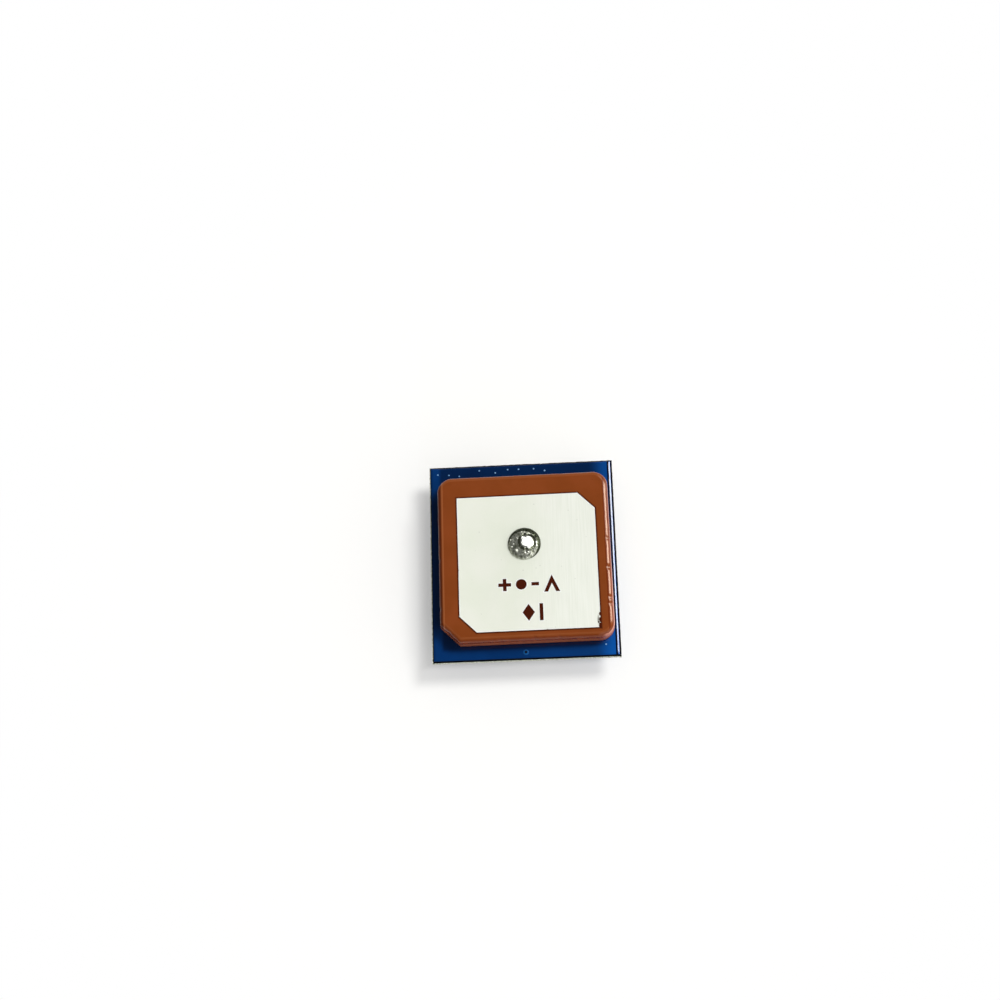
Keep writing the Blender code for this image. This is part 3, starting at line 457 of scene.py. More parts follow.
def solder_mask(name="solder_mask", deep=(2, 44, 96), bright=(5, 55, 114), on_board=False):
    """Blue mask. On the board itself painted light and shade also make its tone depend on the place."""
    material, tree, shader, place = new_finish(name, 0.08, Coat_Weight=0.1, Coat_Roughness=0.05)
    colour = mottled(tree, place, 0.12, deep, bright)
    if on_board:
        across, along_side, _ = axes_of(tree, place)
        # painted shade: darker mask along the two sides of the board
        past_side = spread(tree, absolute(tree, across), *SHADE_FROM_SIDE)
        past_end = spread(tree, absolute(tree, along_side), *SHADE_TO_END, 1.0, 0.0)
        colour = tinted(tree, colour, (2, 30, 70), times(tree, past_side, past_end))
        # painted light: a brighter blue towards the front right
        painted_light = times(tree, spread(tree, across, *LIT_FROM_LEFT), spread(tree, along_side, *LIT_TO_BACK))
        colour = tinted(tree, colour, (8, 82, 164), painted_light)
        # painted shadow in front of the ceramic's foot
        ends = (spread(tree, across, *FOOT_TO_RIGHT), spread(tree, across, *FOOT_FROM_LEFT))
        foot = times(tree, spread(tree, along_side, *FOOT_TO_BACK), *ends)
        colour = tinted(tree, colour, (1, 6, 24), foot)
        # painted shade: a dark line where the right shoulder starts
        colour = tinted(tree, colour, (1, 8, 34), band(tree, across, *PAINTED_DARK_LINE))
    wave = grained(tree, place, 1.2, 0.000006)
    feed(tree, shader, Base_Color=colour, Normal=wave)
    return material


def plain_finish(name, roughness, dark, light, scale, grain=None, **sockets):
    """Two shades in soft clouds, with a grain of a scale and a height in metres."""
    material, tree, shader, place = new_finish(name, roughness, **sockets)
    feed(tree, shader, Base_Color=mottled(tree, place, scale, dark, light))
    if grain:
        feed(tree, shader, Normal=grained(tree, place, *grain))
    return material


def metal_finish(name, dark, light, roughness, scale=2.0):
    return plain_finish(name, roughness, dark, light, scale, (14.0, 0.000003), metallic=1.0)


def moulded(name, dark, light, roughness, scale=1.5, grain=0.000006):
    return plain_finish(name, roughness, dark, light, scale, (16.0, grain))


def painted_shade_edge():
    """Laminate where the board was scored, nearly black as painted shade; the open via's hole takes it too.
    """
    shades = (1, 4, 18), (4, 12, 34)
    return plain_finish("painted_shade_edge", 0.55, *shades, 1.5, (9.0, 0.00001), Specular_IOR_Level=0.15)


def silver_edge():
    """The thin bead along the edge of the printed silver, a little lighter."""
    return plain_finish("fired_silver_edge", 0.4, (240, 242, 234), (250, 250, 246), 2.0, metallic=0.1)


def solder():
    shades = (120, 122, 112), (205, 206, 198)
    return plain_finish("bright_solder", 0.12, *shades, 1.6, (2.6, 0.00004), metallic=1.0)


def led_lens(name, tint):
    """Clear resin with a little of the die's colour in it."""
    return plain_finish(name, 0.08, tint, (244, 246, 244), 2.5, Transmission_Weight=0.75, IOR=1.5)


def torn_laminate():
    """Glass cloth in resin, torn open: pale on the left and front sides, dark on the others."""
    material, tree, shader, place = new_finish("torn_laminate", 0.75, Specular_IOR_Level=0.15)
    axes = axes_of(tree, place)
    pale_left = math_node(tree, "LESS_THAN", axes[0], BOARD_LOW.x + PALE_FRINGES[0])
    pale_front = math_node(tree, "LESS_THAN", axes[1], BOARD_LOW.y + PALE_FRINGES[1])
    pale = math_node(tree, "MAXIMUM", pale_left, pale_front)
    stretched = node(tree, "ShaderNodeMapping", {"Vector": place, "Scale": (6.0, 6.0, 24.0)}).outputs[0]
    share = spread(tree, clouds(tree, stretched, 1.0, 6.0), 0.35, 0.65)
    light = mix_colour(tree, share, screen(150, 156, 140), screen(226, 228, 214))
    dark = mix_colour(tree, share, screen(1, 2, 6), screen(6, 8, 14))
    normal = grained(tree, stretched, 1.5, 0.00002)
    feed(tree, shader, Base_Color=mix_colour(tree, pale, dark, light), Normal=normal)
    return material


def beyond_silver(tree, place):
    """How far a place on the antenna lies outside the printed silver, whose two corners are cut flat."""
    settings = {"Vector": place, "Location": (*ELECTRODE_CENTRE, 0), "Rotation": (0, 0, ANTENNA_TURN)}
    local = node(tree, "ShaderNodeMapping", settings, vector_type="TEXTURE").outputs[0]
    across, along_side, _ = axes_of(tree, local)
    ways = (
        (across, ELECTRODE_HALF[0], 1.0),
        (along_side, ELECTRODE_HALF[1], 1.0),
        (math_node(tree, "ADD", across, along_side), sum(ELECTRODE_HALF) - ELECTRODE_CUT, math.sqrt(0.5)),
    )
    gaps = []
    for way, reach, scale in ways:
        past = math_node(tree, "SUBTRACT", absolute(tree, way), reach)
        gaps.append(times(tree, past, scale))
    return math_node(tree, "MAXIMUM", math_node(tree, "MAXIMUM", gaps[0], gaps[1]), gaps[2])


def fired_ceramic():
    """Brown ceramic, darker under the silver, with painted highlights and shade round its rim, paler down
    its sides through painted light, and rougher there.
    """
    material, tree, shader, place = new_finish("fired_ceramic", 0.14, Specular_Tint=(1.0, 0.8, 0.64, 1.0))
    colour = mottled(tree, place, 0.3, (128, 62, 24), (135, 66, 29))
    pores = specks(tree, place, 4.0, 0.05, 0.12)
    colour = tinted(tree, colour, (96, 44, 20), pores)
    stain = spread(tree, beyond_silver(tree, place), *STAIN_EDGES, 1.0, 0.0)
    colour = tinted(tree, colour, (70, 24, 10), stain)
    axes = axes_of(tree, place)
    # painted highlight and shade bands round the rim
    for axis, edges, strength, tint in RIM_LIGHT_AND_SHADE:
        colour = tinted(tree, colour, tint, band(tree, axes[axis], *edges), strength)
    across, along_side, level = axes
    # painted shade on the left rim, which also mirrors less
    left_rim_shade = spread(tree, across, *LEFT_RIM_SHADE)
    colour = tinted(tree, colour, (84, 32, 12), left_rim_shade, 0.8)
    # painted reflection: pale pink on the right side, strongest towards the front right corner
    to_corner = math_node(tree, "MULTIPLY_ADD", across, 0.9, times(tree, along_side, -0.45))
    worn = times(tree, band(tree, level, *PINK_REFLECTION_LEVELS), spread(tree, to_corner, *PINK_REFLECTION_TO_CORNER))
    worn = times(tree, worn, spread(tree, across, *PINK_REFLECTION_FROM_LEFT))
    colour = tinted(tree, colour, (226, 152, 128), worn)
    # painted light: the lower sides paler
    on_side = spread(tree, level, *SIDE_LEVELS, 1.0, 0.0)
    colour = tinted(tree, colour, (170, 98, 72), on_side, 0.6)
    smooth = spread(tree, clouds(tree, place, 0.8, 5.0), 0.3, 0.7, 0.12, 0.18)
    roughness = math_node(tree, "MULTIPLY_ADD", on_side, 0.35, smooth)
    shine = spread(tree, left_rim_shade, 0.0, 1.0, 0.38, 0.08)
    feed(tree, shader, Base_Color=colour, Roughness=roughness, Specular_IOR_Level=shine)
    return material


def fired_silver():
    """Matt silver, brushed to the right, where it is also lighter as painted light, with small dots and one
    worn and dirty place.
    """
    material, tree, shader, place = new_finish("fired_silver", 0.5, 0.1)
    colour = mottled(tree, place, 0.22, (233, 237, 221), (238, 240, 227))
    strokes = node(tree, "ShaderNodeMapping", {"Vector": place, "Scale": (7.0, 0.25, 1.0)}).outputs[0]
    brushed = spread(tree, clouds(tree, strokes, 1.0, 3.0), 0.3, 0.7)
    streaks = mix_colour(tree, brushed, screen(238, 241, 229), screen(246, 248, 238))
    # lighter brushing towards the right: real brushing, and painted light
    to_right = spread(tree, axes_of(tree, place)[0], *STREAKS_AND_LIGHT_FROM_LEFT)
    colour = mix_colour(tree, to_right, colour, streaks)
    dots = specks(tree, place, 2.2, 0.06, 0.14)
    colour = tinted(tree, colour, (176, 178, 166), dots, 0.35)
    settings = {"Vector": place, "Location": (*WORN_PLACE, 0), "Scale": (*WORN_SIZE, 10.0)}
    local = node(tree, "ShaderNodeMapping", settings, vector_type="TEXTURE").outputs[0]
    on_spot = spread(tree, vector_math(tree, "LENGTH", local), 0.5, 1.1, 1.0, 0.0)
    scratches = spread(tree, clouds(tree, place, 5.0, 5.0), 0.32, 0.48)
    colour = tinted(tree, colour, (72, 64, 48), times(tree, on_spot, scratches))
    normal = grained(tree, place, 7.0, 0.000006)
    feed(tree, shader, Base_Color=colour, Normal=normal)
    return material


def crown_solder():
    """Solder that froze with a bright smooth crown in a dull, wrinkled ring, with painted dark reflections
    round the crown and along an outer arc.
    """
    material, tree, shader, place = new_finish("crown_solder", 0.2, 0.8)
    low, high = span("feed_solder_top")
    dome = (low + high) / 2 + Vector((*DOME_SHIFT, 0))
    crown = dome + Vector((*CROWN_SHIFT, 0))
    away = vector_math(tree, "DISTANCE", place, (crown.x, crown.y, high.z))
    uneven = math_node(tree, "MULTIPLY_ADD", clouds(tree, place, 2.2, 4.0), 0.5, away)
    inner, outer = CROWN_RADIUS + 0.16, CROWN_RADIUS + 0.4
    dull = spread(tree, uneven, inner, inner + 0.18)
    ring = mottled(tree, place, 3.2, (134, 138, 118), (228, 230, 216))
    colour = mix_colour(tree, dull, screen(214, 215, 208), ring)
    # painted dark reflection in a band round the crown
    colour = tinted(tree, colour, (96, 100, 82), band(tree, uneven, inner, inner + 0.1, outer, outer + 0.14))
    # painted dark reflection along the dome's outer arc
    arc_middle = dome + Vector((*DARK_ARC_MIDDLE, 0))
    flat_place = vector_math(tree, "MULTIPLY", place, (1.0, 1.0, 0.0))
    from_middle = vector_math(tree, "DISTANCE", flat_place, (arc_middle.x, arc_middle.y, 0.0))
    colour = tinted(tree, colour, (56, 61, 44), spread(tree, from_middle, *DARK_ARC))
    ripples = grained(tree, place, 3.5, 0.00003)
    roughness = spread(tree, dull, 0.0, 1.0, 0.14, 0.36)
    feed(tree, shader, Base_Color=colour, Roughness=roughness, Normal=ripples)
    return material


def only(piece):
    bpy.ops.object.select_all(action="DESELECT")
    piece.hide_set(False)
    piece.select_set(True)
    bpy.context.view_layer.objects.active = piece


@contextmanager
def editing(piece):
    only(piece)
    bpy.ops.object.mode_set(mode="EDIT")
    yield
    bpy.ops.object.mode_set(mode="OBJECT")


def select(piece, kind, test):
    """In edit mode, selects the verts, edges or faces that pass a test, and nothing else."""
    bpy.ops.mesh.select_mode(type={"verts": "VERT", "edges": "EDGE", "faces": "FACE"}[kind])
    bpy.ops.mesh.select_all(action="DESELECT")
    shape = bmesh.from_edit_mesh(piece.data)
    for item in getattr(shape, kind):
        if test(item):
            item.select_set(True)
    shape.select_flush_mode()
    bmesh.update_edit_mesh(piece.data)


def middle(edge):
    return (edge.verts[0].co + edge.verts[1].co) / 2


def along(edge):
    """The edge's own direction."""
    return (edge.verts[1].co - edge.verts[0].co).normalized()


def named(name):
    piece = bpy.context.object
    piece.name = piece.data.name = name
    return piece


def block(name, low, high):
    """A cube primitive between two corners."""
    bpy.ops.object.select_all(action="DESELECT")
    low, high = Vector(low), Vector(high)
    bpy.ops.mesh.primitive_cube_add(size=1.0, location=(low + high) / 2)
    bpy.context.object.scale = high - low
    bpy.ops.object.transform_apply()
    return named(name)


def bevel(piece, test, width, segments=1, profile=0.5):
    with editing(piece):
        select(piece, "edges", test)
        bpy.ops.mesh.bevel(offset=width, segments=segments, profile=profile, affect="EDGES")


def modify(piece, kind, **settings):
    """Adds a modifier with its settings and applies it."""
    only(piece)
    modifier = piece.modifiers.new(kind, kind)
    for name, value in settings.items():
        setattr(modifier, name, value)
    bpy.ops.object.modifier_apply(modifier=modifier.name)


def coat(piece, material):
    piece.data.materials.clear()
    piece.data.materials.append(material)
    return piece


def round_edges(piece, width, sharper_than=50):
    """Rounds the edges that turn by more than an angle in degrees."""
    limit = math.radians(sharper_than)
    modify(piece, "BEVEL", width=width, segments=2, limit_method="ANGLE", angle_limit=limit)


def cut(piece, tool):
    """Takes a cutting shape out of a piece."""
    modify(piece, "BOOLEAN", object=tool, operation="DIFFERENCE", solver="EXACT")
    bpy.data.objects.remove(tool)


def finish(piece, material, stands_for=(), angle=35.0):
    """A finished piece: in metres, smooth, with its finish, and riding on the module."""
    only(piece)
    piece.scale = (MM, MM, MM)
    bpy.ops.object.transform_apply()
    bpy.ops.object.shade_smooth_by_angle(angle=math.radians(angle))
    if material is not None:
        coat(piece, material)
    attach(piece, BODY)
    if stands_for:
        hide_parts(*stands_for)
    return piece


def everywhere(item):
    return True


def join(name, pieces):
    """Several shapes as one piece, each with its own finish."""
    bpy.ops.object.select_all(action="DESELECT")
    for piece in pieces:
        piece.select_set(True)
    bpy.context.view_layer.objects.active = pieces[0]
    bpy.ops.object.join()
    return named(name)


def copied(piece, name, matrix):
    """A copy with its own mesh, moved by a matrix."""
    made = bpy.data.objects.new(name, piece.data.copy())
    bpy.context.scene.collection.objects.link(made)
    made.data.transform(matrix)
    return made


def copy_of(node_name, name):
    """A piece that starts as a copy of a node's mesh, merged, in millimetres."""
    piece = bpy.data.objects.new(name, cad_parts[node_name].data.copy())
    bpy.context.scene.collection.objects.link(piece)
    piece.data.materials.clear()
    piece.data.transform(Matrix.Scale(1 / MM, 4))
    with editing(piece):
        bpy.ops.mesh.select_all(action="SELECT")
        bpy.ops.mesh.remove_doubles(threshold=0.001)
        bpy.ops.mesh.dissolve_limited(angle_limit=math.radians(1))
    return piece


def row(count, pitch):
    return [pitch * (index - (count - 1) / 2) for index in range(count)]


def numbered(name, first, last):
    return [f"{name}_{number}" for number in range(first, last + 1)]


def corners(*ends):
    """A low and a high corner, from a pair of ends in each direction."""
    return [min(pair) for pair in ends], [max(pair) for pair in ends]


def placed(add, **settings):
    """What a primitive's operator adds, with its place in its mesh."""
    bpy.ops.object.select_all(action="DESELECT")
    add(**settings)
    bpy.ops.object.transform_apply()
    return bpy.context.object


def smoothed_block(name, low, high, edge, material, segments=2):
    """A block with all its edges rounded."""
    made = block(name, low, high)
    bevel(made, everywhere, edge, segments)
    return coat(made, material)


def lathe(name, centre, rings, material, steps=64):
    """A body turned round an upright axis, through rings of (radius, height), closed at both ends."""
    radius, height = rings[0]
    start = {"vertices": steps, "radius": radius, "location": (centre[0], centre[1], height)}
    placed(bpy.ops.mesh.primitive_circle_add, fill_type="NGON", **start)
    made = named(name)
    with editing(made):
        bpy.ops.mesh.select_mode(type="FACE")
        bpy.ops.mesh.select_all(action="SELECT")
        for (near, level), (far, next_level) in zip(rings, rings[1:]):
            lift = {"value": (0, 0, next_level - level)}
            bpy.ops.mesh.extrude_region_move(TRANSFORM_OT_translate=lift)
            ratio = far / near
            bpy.ops.transform.resize(value=(ratio, ratio, 1), center_override=(centre[0], centre[1], 0))
        bpy.ops.mesh.select_all(action="SELECT")
        bpy.ops.mesh.normals_make_consistent(inside=False)
    return coat(made, material)


def arc(centre, radius, start, end, steps=6):
    """Points of an arc in a profile of (radius, height), from one angle in degrees to another."""
    angles = [math.radians(start + (end - start) * step / steps) for step in range(steps + 1)]
    return [(centre[0] + radius * math.cos(a), centre[1] + radius * math.sin(a)) for a in angles]


def strip(name, path, width, thickness, bend, material):
    """A flat strip bent along a path of (x, z) points, with its width along Y and round bends."""
    start = (path[0][0] + width / 2, 0, path[0][1])
    placed(bpy.ops.mesh.primitive_plane_add, size=width, location=start)
    made = named(name)
    with editing(made):
        select(made, "verts", lambda v: v.co.x > path[0][0] + width / 2)
        bpy.ops.mesh.delete(type="VERT")
        bpy.ops.mesh.select_all(action="SELECT")
        for (x, z), (far_x, far_z) in zip(path, path[1:]):
            leg = {"value": (far_x - x, 0, far_z - z)}
            bpy.ops.mesh.extrude_region_move(TRANSFORM_OT_translate=leg)

        def at_bend(edge):
            spot = middle(edge)
            at_corner = any(abs(spot.x - x) + abs(spot.z - z) < 0.001 for x, z in path[1:-1])
            return at_corner and abs(along(edge).y) > 0.5

        select(made, "edges", at_bend)
        bpy.ops.mesh.bevel(offset=bend, segments=5, profile=0.5, affect="EDGES")
    modify(made, "SOLIDIFY", thickness=thickness, offset=0)
    round_edges(made, thickness * 0.12)
    return coat(made, material)


def drawn_lines(name, lines, level, thickness, material):
    """Flat lines on the board, each as (points, width, closed)."""
    curve = bpy.data.curves.new(name, "CURVE")
    curve.dimensions = "3D"
    curve.bevel_depth = 0.5
    curve.bevel_resolution = 2
    curve.use_fill_caps = True
    for points, width, closed in lines:
        spline = curve.splines.new("POLY")
        spline.points.add(len(points) - 1)
        for point, (x, y) in zip(spline.points, points):
            point.co = (x, y, 0, 1)
            point.radius = width
        spline.use_cyclic_u = closed
    piece = bpy.data.objects.new(name, curve)
    bpy.context.scene.collection.objects.link(piece)
    only(piece)
    bpy.ops.object.convert(target="MESH")
    piece = named(name)
    widest = max(width for _, width, _ in lines)
    piece.data.transform(Matrix.Diagonal((1, 1, 2 * thickness / widest, 1)))
    piece.data.transform(Matrix.Translation((0, 0, level)))
    return coat(piece, material)


def fillet(solder_finish):
    """A unit of concave solder: it climbs 1 up a wall at x = 0, and runs out 1 along the board."""
    made = block("fillet", (0, -0.5, 0), (1, 0.5, 1))
    bevel(made, lambda e: middle(e).x > 0.9 and middle(e).z > 0.9, 0.97, 6, 0.16)
    return coat(made, solder_finish)


def soldered(unit, edge, direction, width, reach, height):
    """A copy of the unit of solder at a part's edge, running outwards from it."""
    turn = Matrix.Rotation(math.atan2(direction[1], direction[0]), 4, "Z")
    place = Matrix.Translation((edge[0], edge[1], -BOARD_GAP)) @ turn
    return copied(unit, "fillet_copy", place @ Matrix.Diagonal((reach, width, height + BOARD_GAP, 1)))


def soldered_under(unit, edge, direction, width, reach, height):
    """The same for a part that is modelled in its place under the board."""
    made = soldered(unit, (edge[0], -edge[1]), (direction[0], -direction[1]), width, reach, height)
    made.data.transform(Matrix.Translation((0, 0, SEAT)) @ TURNED_OVER)
    return made


def pad(material, *ends):
    """A tinned pad on the board, under a part's terminal."""
    low, high = corners(*ends)
    low, high = (*low, -BOARD_GAP - 0.01), (*high, PAD_THICKNESS)
    return smoothed_block("pad", low, high, PAD_EDGE, material, 1)


def two_ended(name, size, body, metal, unit, glaze=None):
    """A chip part along X with a metal cap and a fillet at each end; glaze covers its top between them."""
    length, width, height = size
    half, cap, step = length / 2, length * END_CAP_SHARE, END_CAP_STEP
    low, high = (step - half, step - width / 2, step), (half - step, width / 2 - step, height - step)
    pieces = [smoothed_block(name, low, high, CORE_EDGE, body)]
    if glaze:
        low = (cap - half, GLAZE_MARGIN - width / 2, height - GLAZE_DEPTH)
        high = (half - cap, width / 2 - GLAZE_MARGIN, height)
        pieces.append(smoothed_block("glaze", low, high, GLAZE_EDGE, glaze))
    cover, reach, climb = END_CAP_SOLDER
    wide_pad = width / 2 + PAD_MARGIN
    for side in (-1, 1):
        outer, inner = side * half, side * (half - cap)
        low, high = corners((outer, inner), (-width / 2, width / 2), (0, height))
        pieces.append(smoothed_block("end_cap", low, high, END_CAP_EDGE, metal, 3))
        edge = (outer - side * 0.01, 0)
        pieces.append(soldered(unit, edge, (side, 0), width * cover, reach, height * climb))
        pieces.append(pad(metal, (outer + side * PAD_REACH, inner), (-wide_pad, wide_pad)))
    return join(name, pieces)


def moulded_chip(name, size, sides, pitch, terminal, epoxy, metal, unit):
    """A leadless moulded chip. sides gives each row of terminals as (outward direction, count)."""
    wide, long, height = size
    body = block(name, (-wide / 2, -long / 2, 0.02), (wide / 2, long / 2, height))
    bevel(body, lambda e: middle(e).z > height - 0.01, CHIP_EDGE, 2)
    bevel(body, lambda e: abs(along(e).z) > 0.9, 0.02, 1)
    inset = min(DIMPLE_INSET, long / 3)
    radius, depth = DIMPLE_RADIUS, DIMPLE_DEPTH
    rings = [(radius * 0.8, height - depth), (radius, height - 0.6 * depth), (radius, height + 0.1)]
    cut(body, lathe("dimple", (inset - wide / 2, inset - long / 2), rings, epoxy, 32))
    pieces = [coat(body, epoxy)]
    for (x, y), count in sides:
        edge = wide / 2 if x else long / 2
        out, across = Vector((x, y)), Vector((abs(y), abs(x)))
        for slide in row(count, pitch):
            spot = out * edge + across * slide
            half = across * terminal / 2
            low, high = corners(*zip(spot - half - out * 0.1, spot + half + out * 0.004))
            lead = block("terminal", (*low, 0.0), (*high, 0.2 * height))
            pieces.append(coat(lead, metal))
            pieces.append(soldered(unit, spot, (x, y), terminal, 0.2, 0.3 * height))
    return join(name, pieces)


def lidded_package(name, size, ceramic, lid, metal, unit, ends):
    """A ceramic base with notched corners and a metal lid with a welded rim."""
    wide, long, height = size
    base_top = height - LID_HEIGHT
    base = block(name, (-wide / 2, -long / 2, 0.01), (wide / 2, long / 2, base_top))
    for x in (-1, 1):
        for y in (-1, 1):
            rings = [(CASTELLATION_RADIUS, -0.1), (CASTELLATION_RADIUS, height)]
            cut(base, lathe("notch", (x * wide / 2, y * long / 2), rings, ceramic, 24))
    pieces = [coat(base, ceramic)]
    reach = Vector((wide / 2 - LID_INSET, long / 2 - LID_INSET))
    cover = block("lid", (*-reach, base_top - 0.01), (*reach, height))
    bevel(cover, lambda e: abs(along(e).z) > 0.9, LID_CORNER, 4)
    with editing(cover):
        select(cover, "faces", lambda f: f.normal.z > 0.9)
        bpy.ops.mesh.inset(thickness=LID_RIM)
        bpy.ops.mesh.extrude_region_move(TRANSFORM_OT_translate={"value": (0, 0, -LID_STEP)})
    bevel(cover, lambda e: middle(e).z > height - 0.001, 0.015, 2)
    pieces.append(coat(cover, lid))
    for x, y, width in ends:
        end, spot = x * wide / 2, y * (long / 2 - width / 2 - 0.1)
        pieces.append(soldered(unit, (end - x * 0.02, spot), (x, 0), width, 0.2, base_top * 0.5))
        pieces.append(pad(metal, (end, end + x * 0.24), (spot - width / 2, spot + width / 2)))
    return join(name, pieces)


def five_lead_package(name, epoxy, metal, unit):
    """A moulded body with drafted sides and five gull-wing leads."""
    wide, long, tall = REGULATOR_SIZE
    low, high = REGULATOR_STANDOFF, REGULATOR_STANDOFF + tall
    waist = (low + high) / 2
    body = block(name, (-wide / 2, -long / 2, low), (wide / 2, long / 2, high))
    with editing(body):
        select(body, "edges", lambda e: abs(along(e).z) > 0.9)
        bpy.ops.mesh.subdivide(number_cuts=1)
        draft = (1 - 2 * REGULATOR_DRAFT / wide, 1 - 2 * REGULATOR_DRAFT / long, 1)
        for side in (-1, 1):
            select(body, "faces", lambda f: f.normal.z * side > 0.9)
            bpy.ops.transform.resize(value=draft, center_override=(0, 0, waist))
    bevel(body, lambda e: abs(middle(e).z - waist) > 0.01, 0.05, 3)
    dimple = [(0.16, high - 0.05), (0.2, high - 0.03), (0.2, high + 0.1)]
    spot = (REGULATOR_DIMPLE[0] - wide / 2, REGULATOR_DIMPLE[1] - long / 2)
    cut(body, lathe("dimple", spot, dimple, epoxy, 32))
    pieces = [coat(body, epoxy)]
    knee = long / 2 + LEAD_REACH - LEAD_FOOT
    foot = LEAD_THICKNESS / 2
    toe = long / 2 + LEAD_REACH
    path = [(long / 4, waist), (knee - 0.05, waist), (knee + 0.05, foot), (toe, foot)]
    for slot, side in ((-1, -1), (0, -1), (1, -1), (-1, 1), (1, 1)):
        x = slot * LEAD_PITCH
        lead = strip("lead", path, LEAD_WIDTH, LEAD_THICKNESS, LEAD_BEND, metal)
        lead.data.transform(Matrix.Translation((x, 0, 0)) @ Matrix.Rotation(side * math.pi / 2, 4, "Z"))
        pieces.append(lead)
        pieces.append(soldered(unit, (x, side * (toe - 0.02)), (0, side), LEAD_WIDTH, 0.16, 0.12))
        ends = (side * (knee - 0.05), side * (toe + PAD_REACH))
        pieces.append(pad(metal, (x - LEAD_PAD_HALF, x + LEAD_PAD_HALF), ends))
    return join(name, pieces)


def status_light(name, size, white, lens_finish, metal, unit):
    """A white base with plated, notched ends under a clear lens with drafted sides."""
    wide, long, tall = size
    base = block(name, (-wide / 2, -long / 2, 0.01), (wide / 2, long / 2, LED_BASE_HEIGHT))
    for side in (-1, 1):
        rings = [(LED_NOTCH_RADIUS, -0.1), (LED_NOTCH_RADIUS, tall)]
        cut(base, lathe("notch", (side * wide / 2, 0), rings, white, 32))
    bevel(base, lambda e: middle(e).z > LED_BASE_HEIGHT - 0.01 and e.calc_length() > 0.2, 0.02, 2)
    reach = Vector((LED_LENS_LENGTH / 2, long / 2))
    lens = block("lens", (*-reach, LED_BASE_HEIGHT), (*reach, tall))
    with editing(lens):
        select(lens, "faces", lambda f: f.normal.z > 0.9)
        draft = (1 - 2 * LED_LENS_EDGE / LED_LENS_LENGTH, 1 - LED_LENS_EDGE / long, 1)
        bpy.ops.transform.resize(value=draft, center_override=(0, 0, tall))
    bevel(lens, lambda e: middle(e).z > LED_BASE_HEIGHT + 0.01, 0.04, 3)
    pieces = [coat(base, white), coat(lens, lens_finish)]
    for side in (-1, 1):
        ends = (side * (wide / 2 + PAD_REACH), side * (wide / 2 - 0.3))
        pieces.append(pad(metal, ends, (-long / 2, long / 2)))
        for slide in (-LED_SOLDER_OFFSET, LED_SOLDER_OFFSET):
            spot = (side * (wide / 2 - 0.01), slide)
            pieces.append(soldered(unit, spot, (side, 0), 0.2, 0.17, LED_BASE_HEIGHT * 0.8))
    return join(name, pieces)


def hang(template, node_name, turned=False):
    """A copy of a part, turned over and seated under the board where its node is."""
    low, high = span(node_name)
    centre = (low + high) / 2
    turn = Matrix.Rotation(math.pi / 2 if turned else 0.0, 4, "Z")
    place = Matrix.Translation((centre.x, centre.y, SEAT)) @ turn @ TURNED_OVER
    piece = copied(template, node_name + "_detailed", place)
    finish(piece, None, [node_name])


def hang_one(template, node_name):
    hang(template, node_name)
    bpy.data.objects.remove(template)


def hang_all(template, node_names):
    """Copies of a part that lies along X or Y, as each of its nodes does."""
    for node_name in node_names:
        size = size_of(node_name)
        hang(template, node_name, turned=size.y > size.x)
    bpy.data.objects.remove(template)


def chip_parts(metal, unit):
    beige = moulded("capacitor_ceramic", (158, 128, 94), (184, 152, 116), 0.45, 2.0)
    black = moulded("resistor_glaze", (20, 20, 22), (34, 34, 37), 0.28, 2.0)
    white = moulded("inductor_ceramic", (204, 206, 203), (222, 224, 221), 0.45, 2.0)
    grey = moulded("ferrite", (52, 50, 50), (70, 68, 67), 0.42, 3.0)
    kinds = (
        ("small_capacitor", beige, None, numbered("capacitor", 1, 8), "capacitor_ceramic"),
        ("large_capacitor", beige, None, numbered("capacitor", 9, 10), "capacitor_ceramic"),
        ("resistor", white, black, numbered("resistor", 1, 6), "resistor_glaze"),
        ("inductor", white, None, numbered("inductor", 1, 2), "inductor_ceramic"),
        ("ferrite", grey, None, ["ferrite_bead"], "ferrite"),
    )
    for name, body, glaze, node_names, slot in kinds:
        hang_all(two_ended(name, CHIP_SIZES[name], body, metal, unit, glaze), node_names)


def chips(metal, unit):
    epoxy = moulded("chip_epoxy", (24, 24, 26), (36, 36, 38), 0.5, 3.0, 0.00002)
    left, right, back, front = (-1, 0), (1, 0), (0, 1), (0, -1)
    kinds = (  # terminals on each side, their pitch and width
        ("receiver", "receiver_chip", [(side, 10) for side in (left, right, back, front)], 0.4, 0.2),
        ("flash", "flash_memory_chip", [(left, 4), (right, 4)], 0.45, 0.22),
        ("amplifier", "amplifier_chip", [(back, 3), (front, 3)], 0.45, 0.2),
    )
    for name, node_name, sides, pitch, width in kinds:
        template = moulded_chip(name, size_of(node_name), sides, pitch, width, epoxy, metal, unit)
        hang_one(template, node_name)
    hang_one(five_lead_package("regulator", epoxy, metal, unit), "voltage_regulator")


def packages(metal, unit):
    dark = moulded("package_ceramic", (40, 38, 38), (58, 56, 55), 0.5, 3.0)
    lid = metal_finish("package_lid", (176, 168, 146), (204, 198, 178), 0.3, 1.2)
    for node_name, width in (("oscillator", 0.6), ("saw_filter", 0.3), ("clock_crystal", 0.6)):
        ends = [(x, y, width) for x in (-1, 1) for y in (-1, 1)]
        template = lidded_package(node_name + "_body", size_of(node_name), dark, lid, metal, unit, ends)
        hang_one(template, node_name)


def status_lights(metal, unit):
    white = moulded("led_base", (226, 226, 220), (238, 238, 234), 0.45)
    for colour, tint in (("red", (232, 176, 150)), ("blue", (206, 222, 238))):
        node_name = "status_led_" + colour
        lens = led_lens("led_lens_" + colour, tint)
        template = status_light("light_" + colour, size_of(node_name), white, lens, metal, unit)
        hang_one(template, node_name)


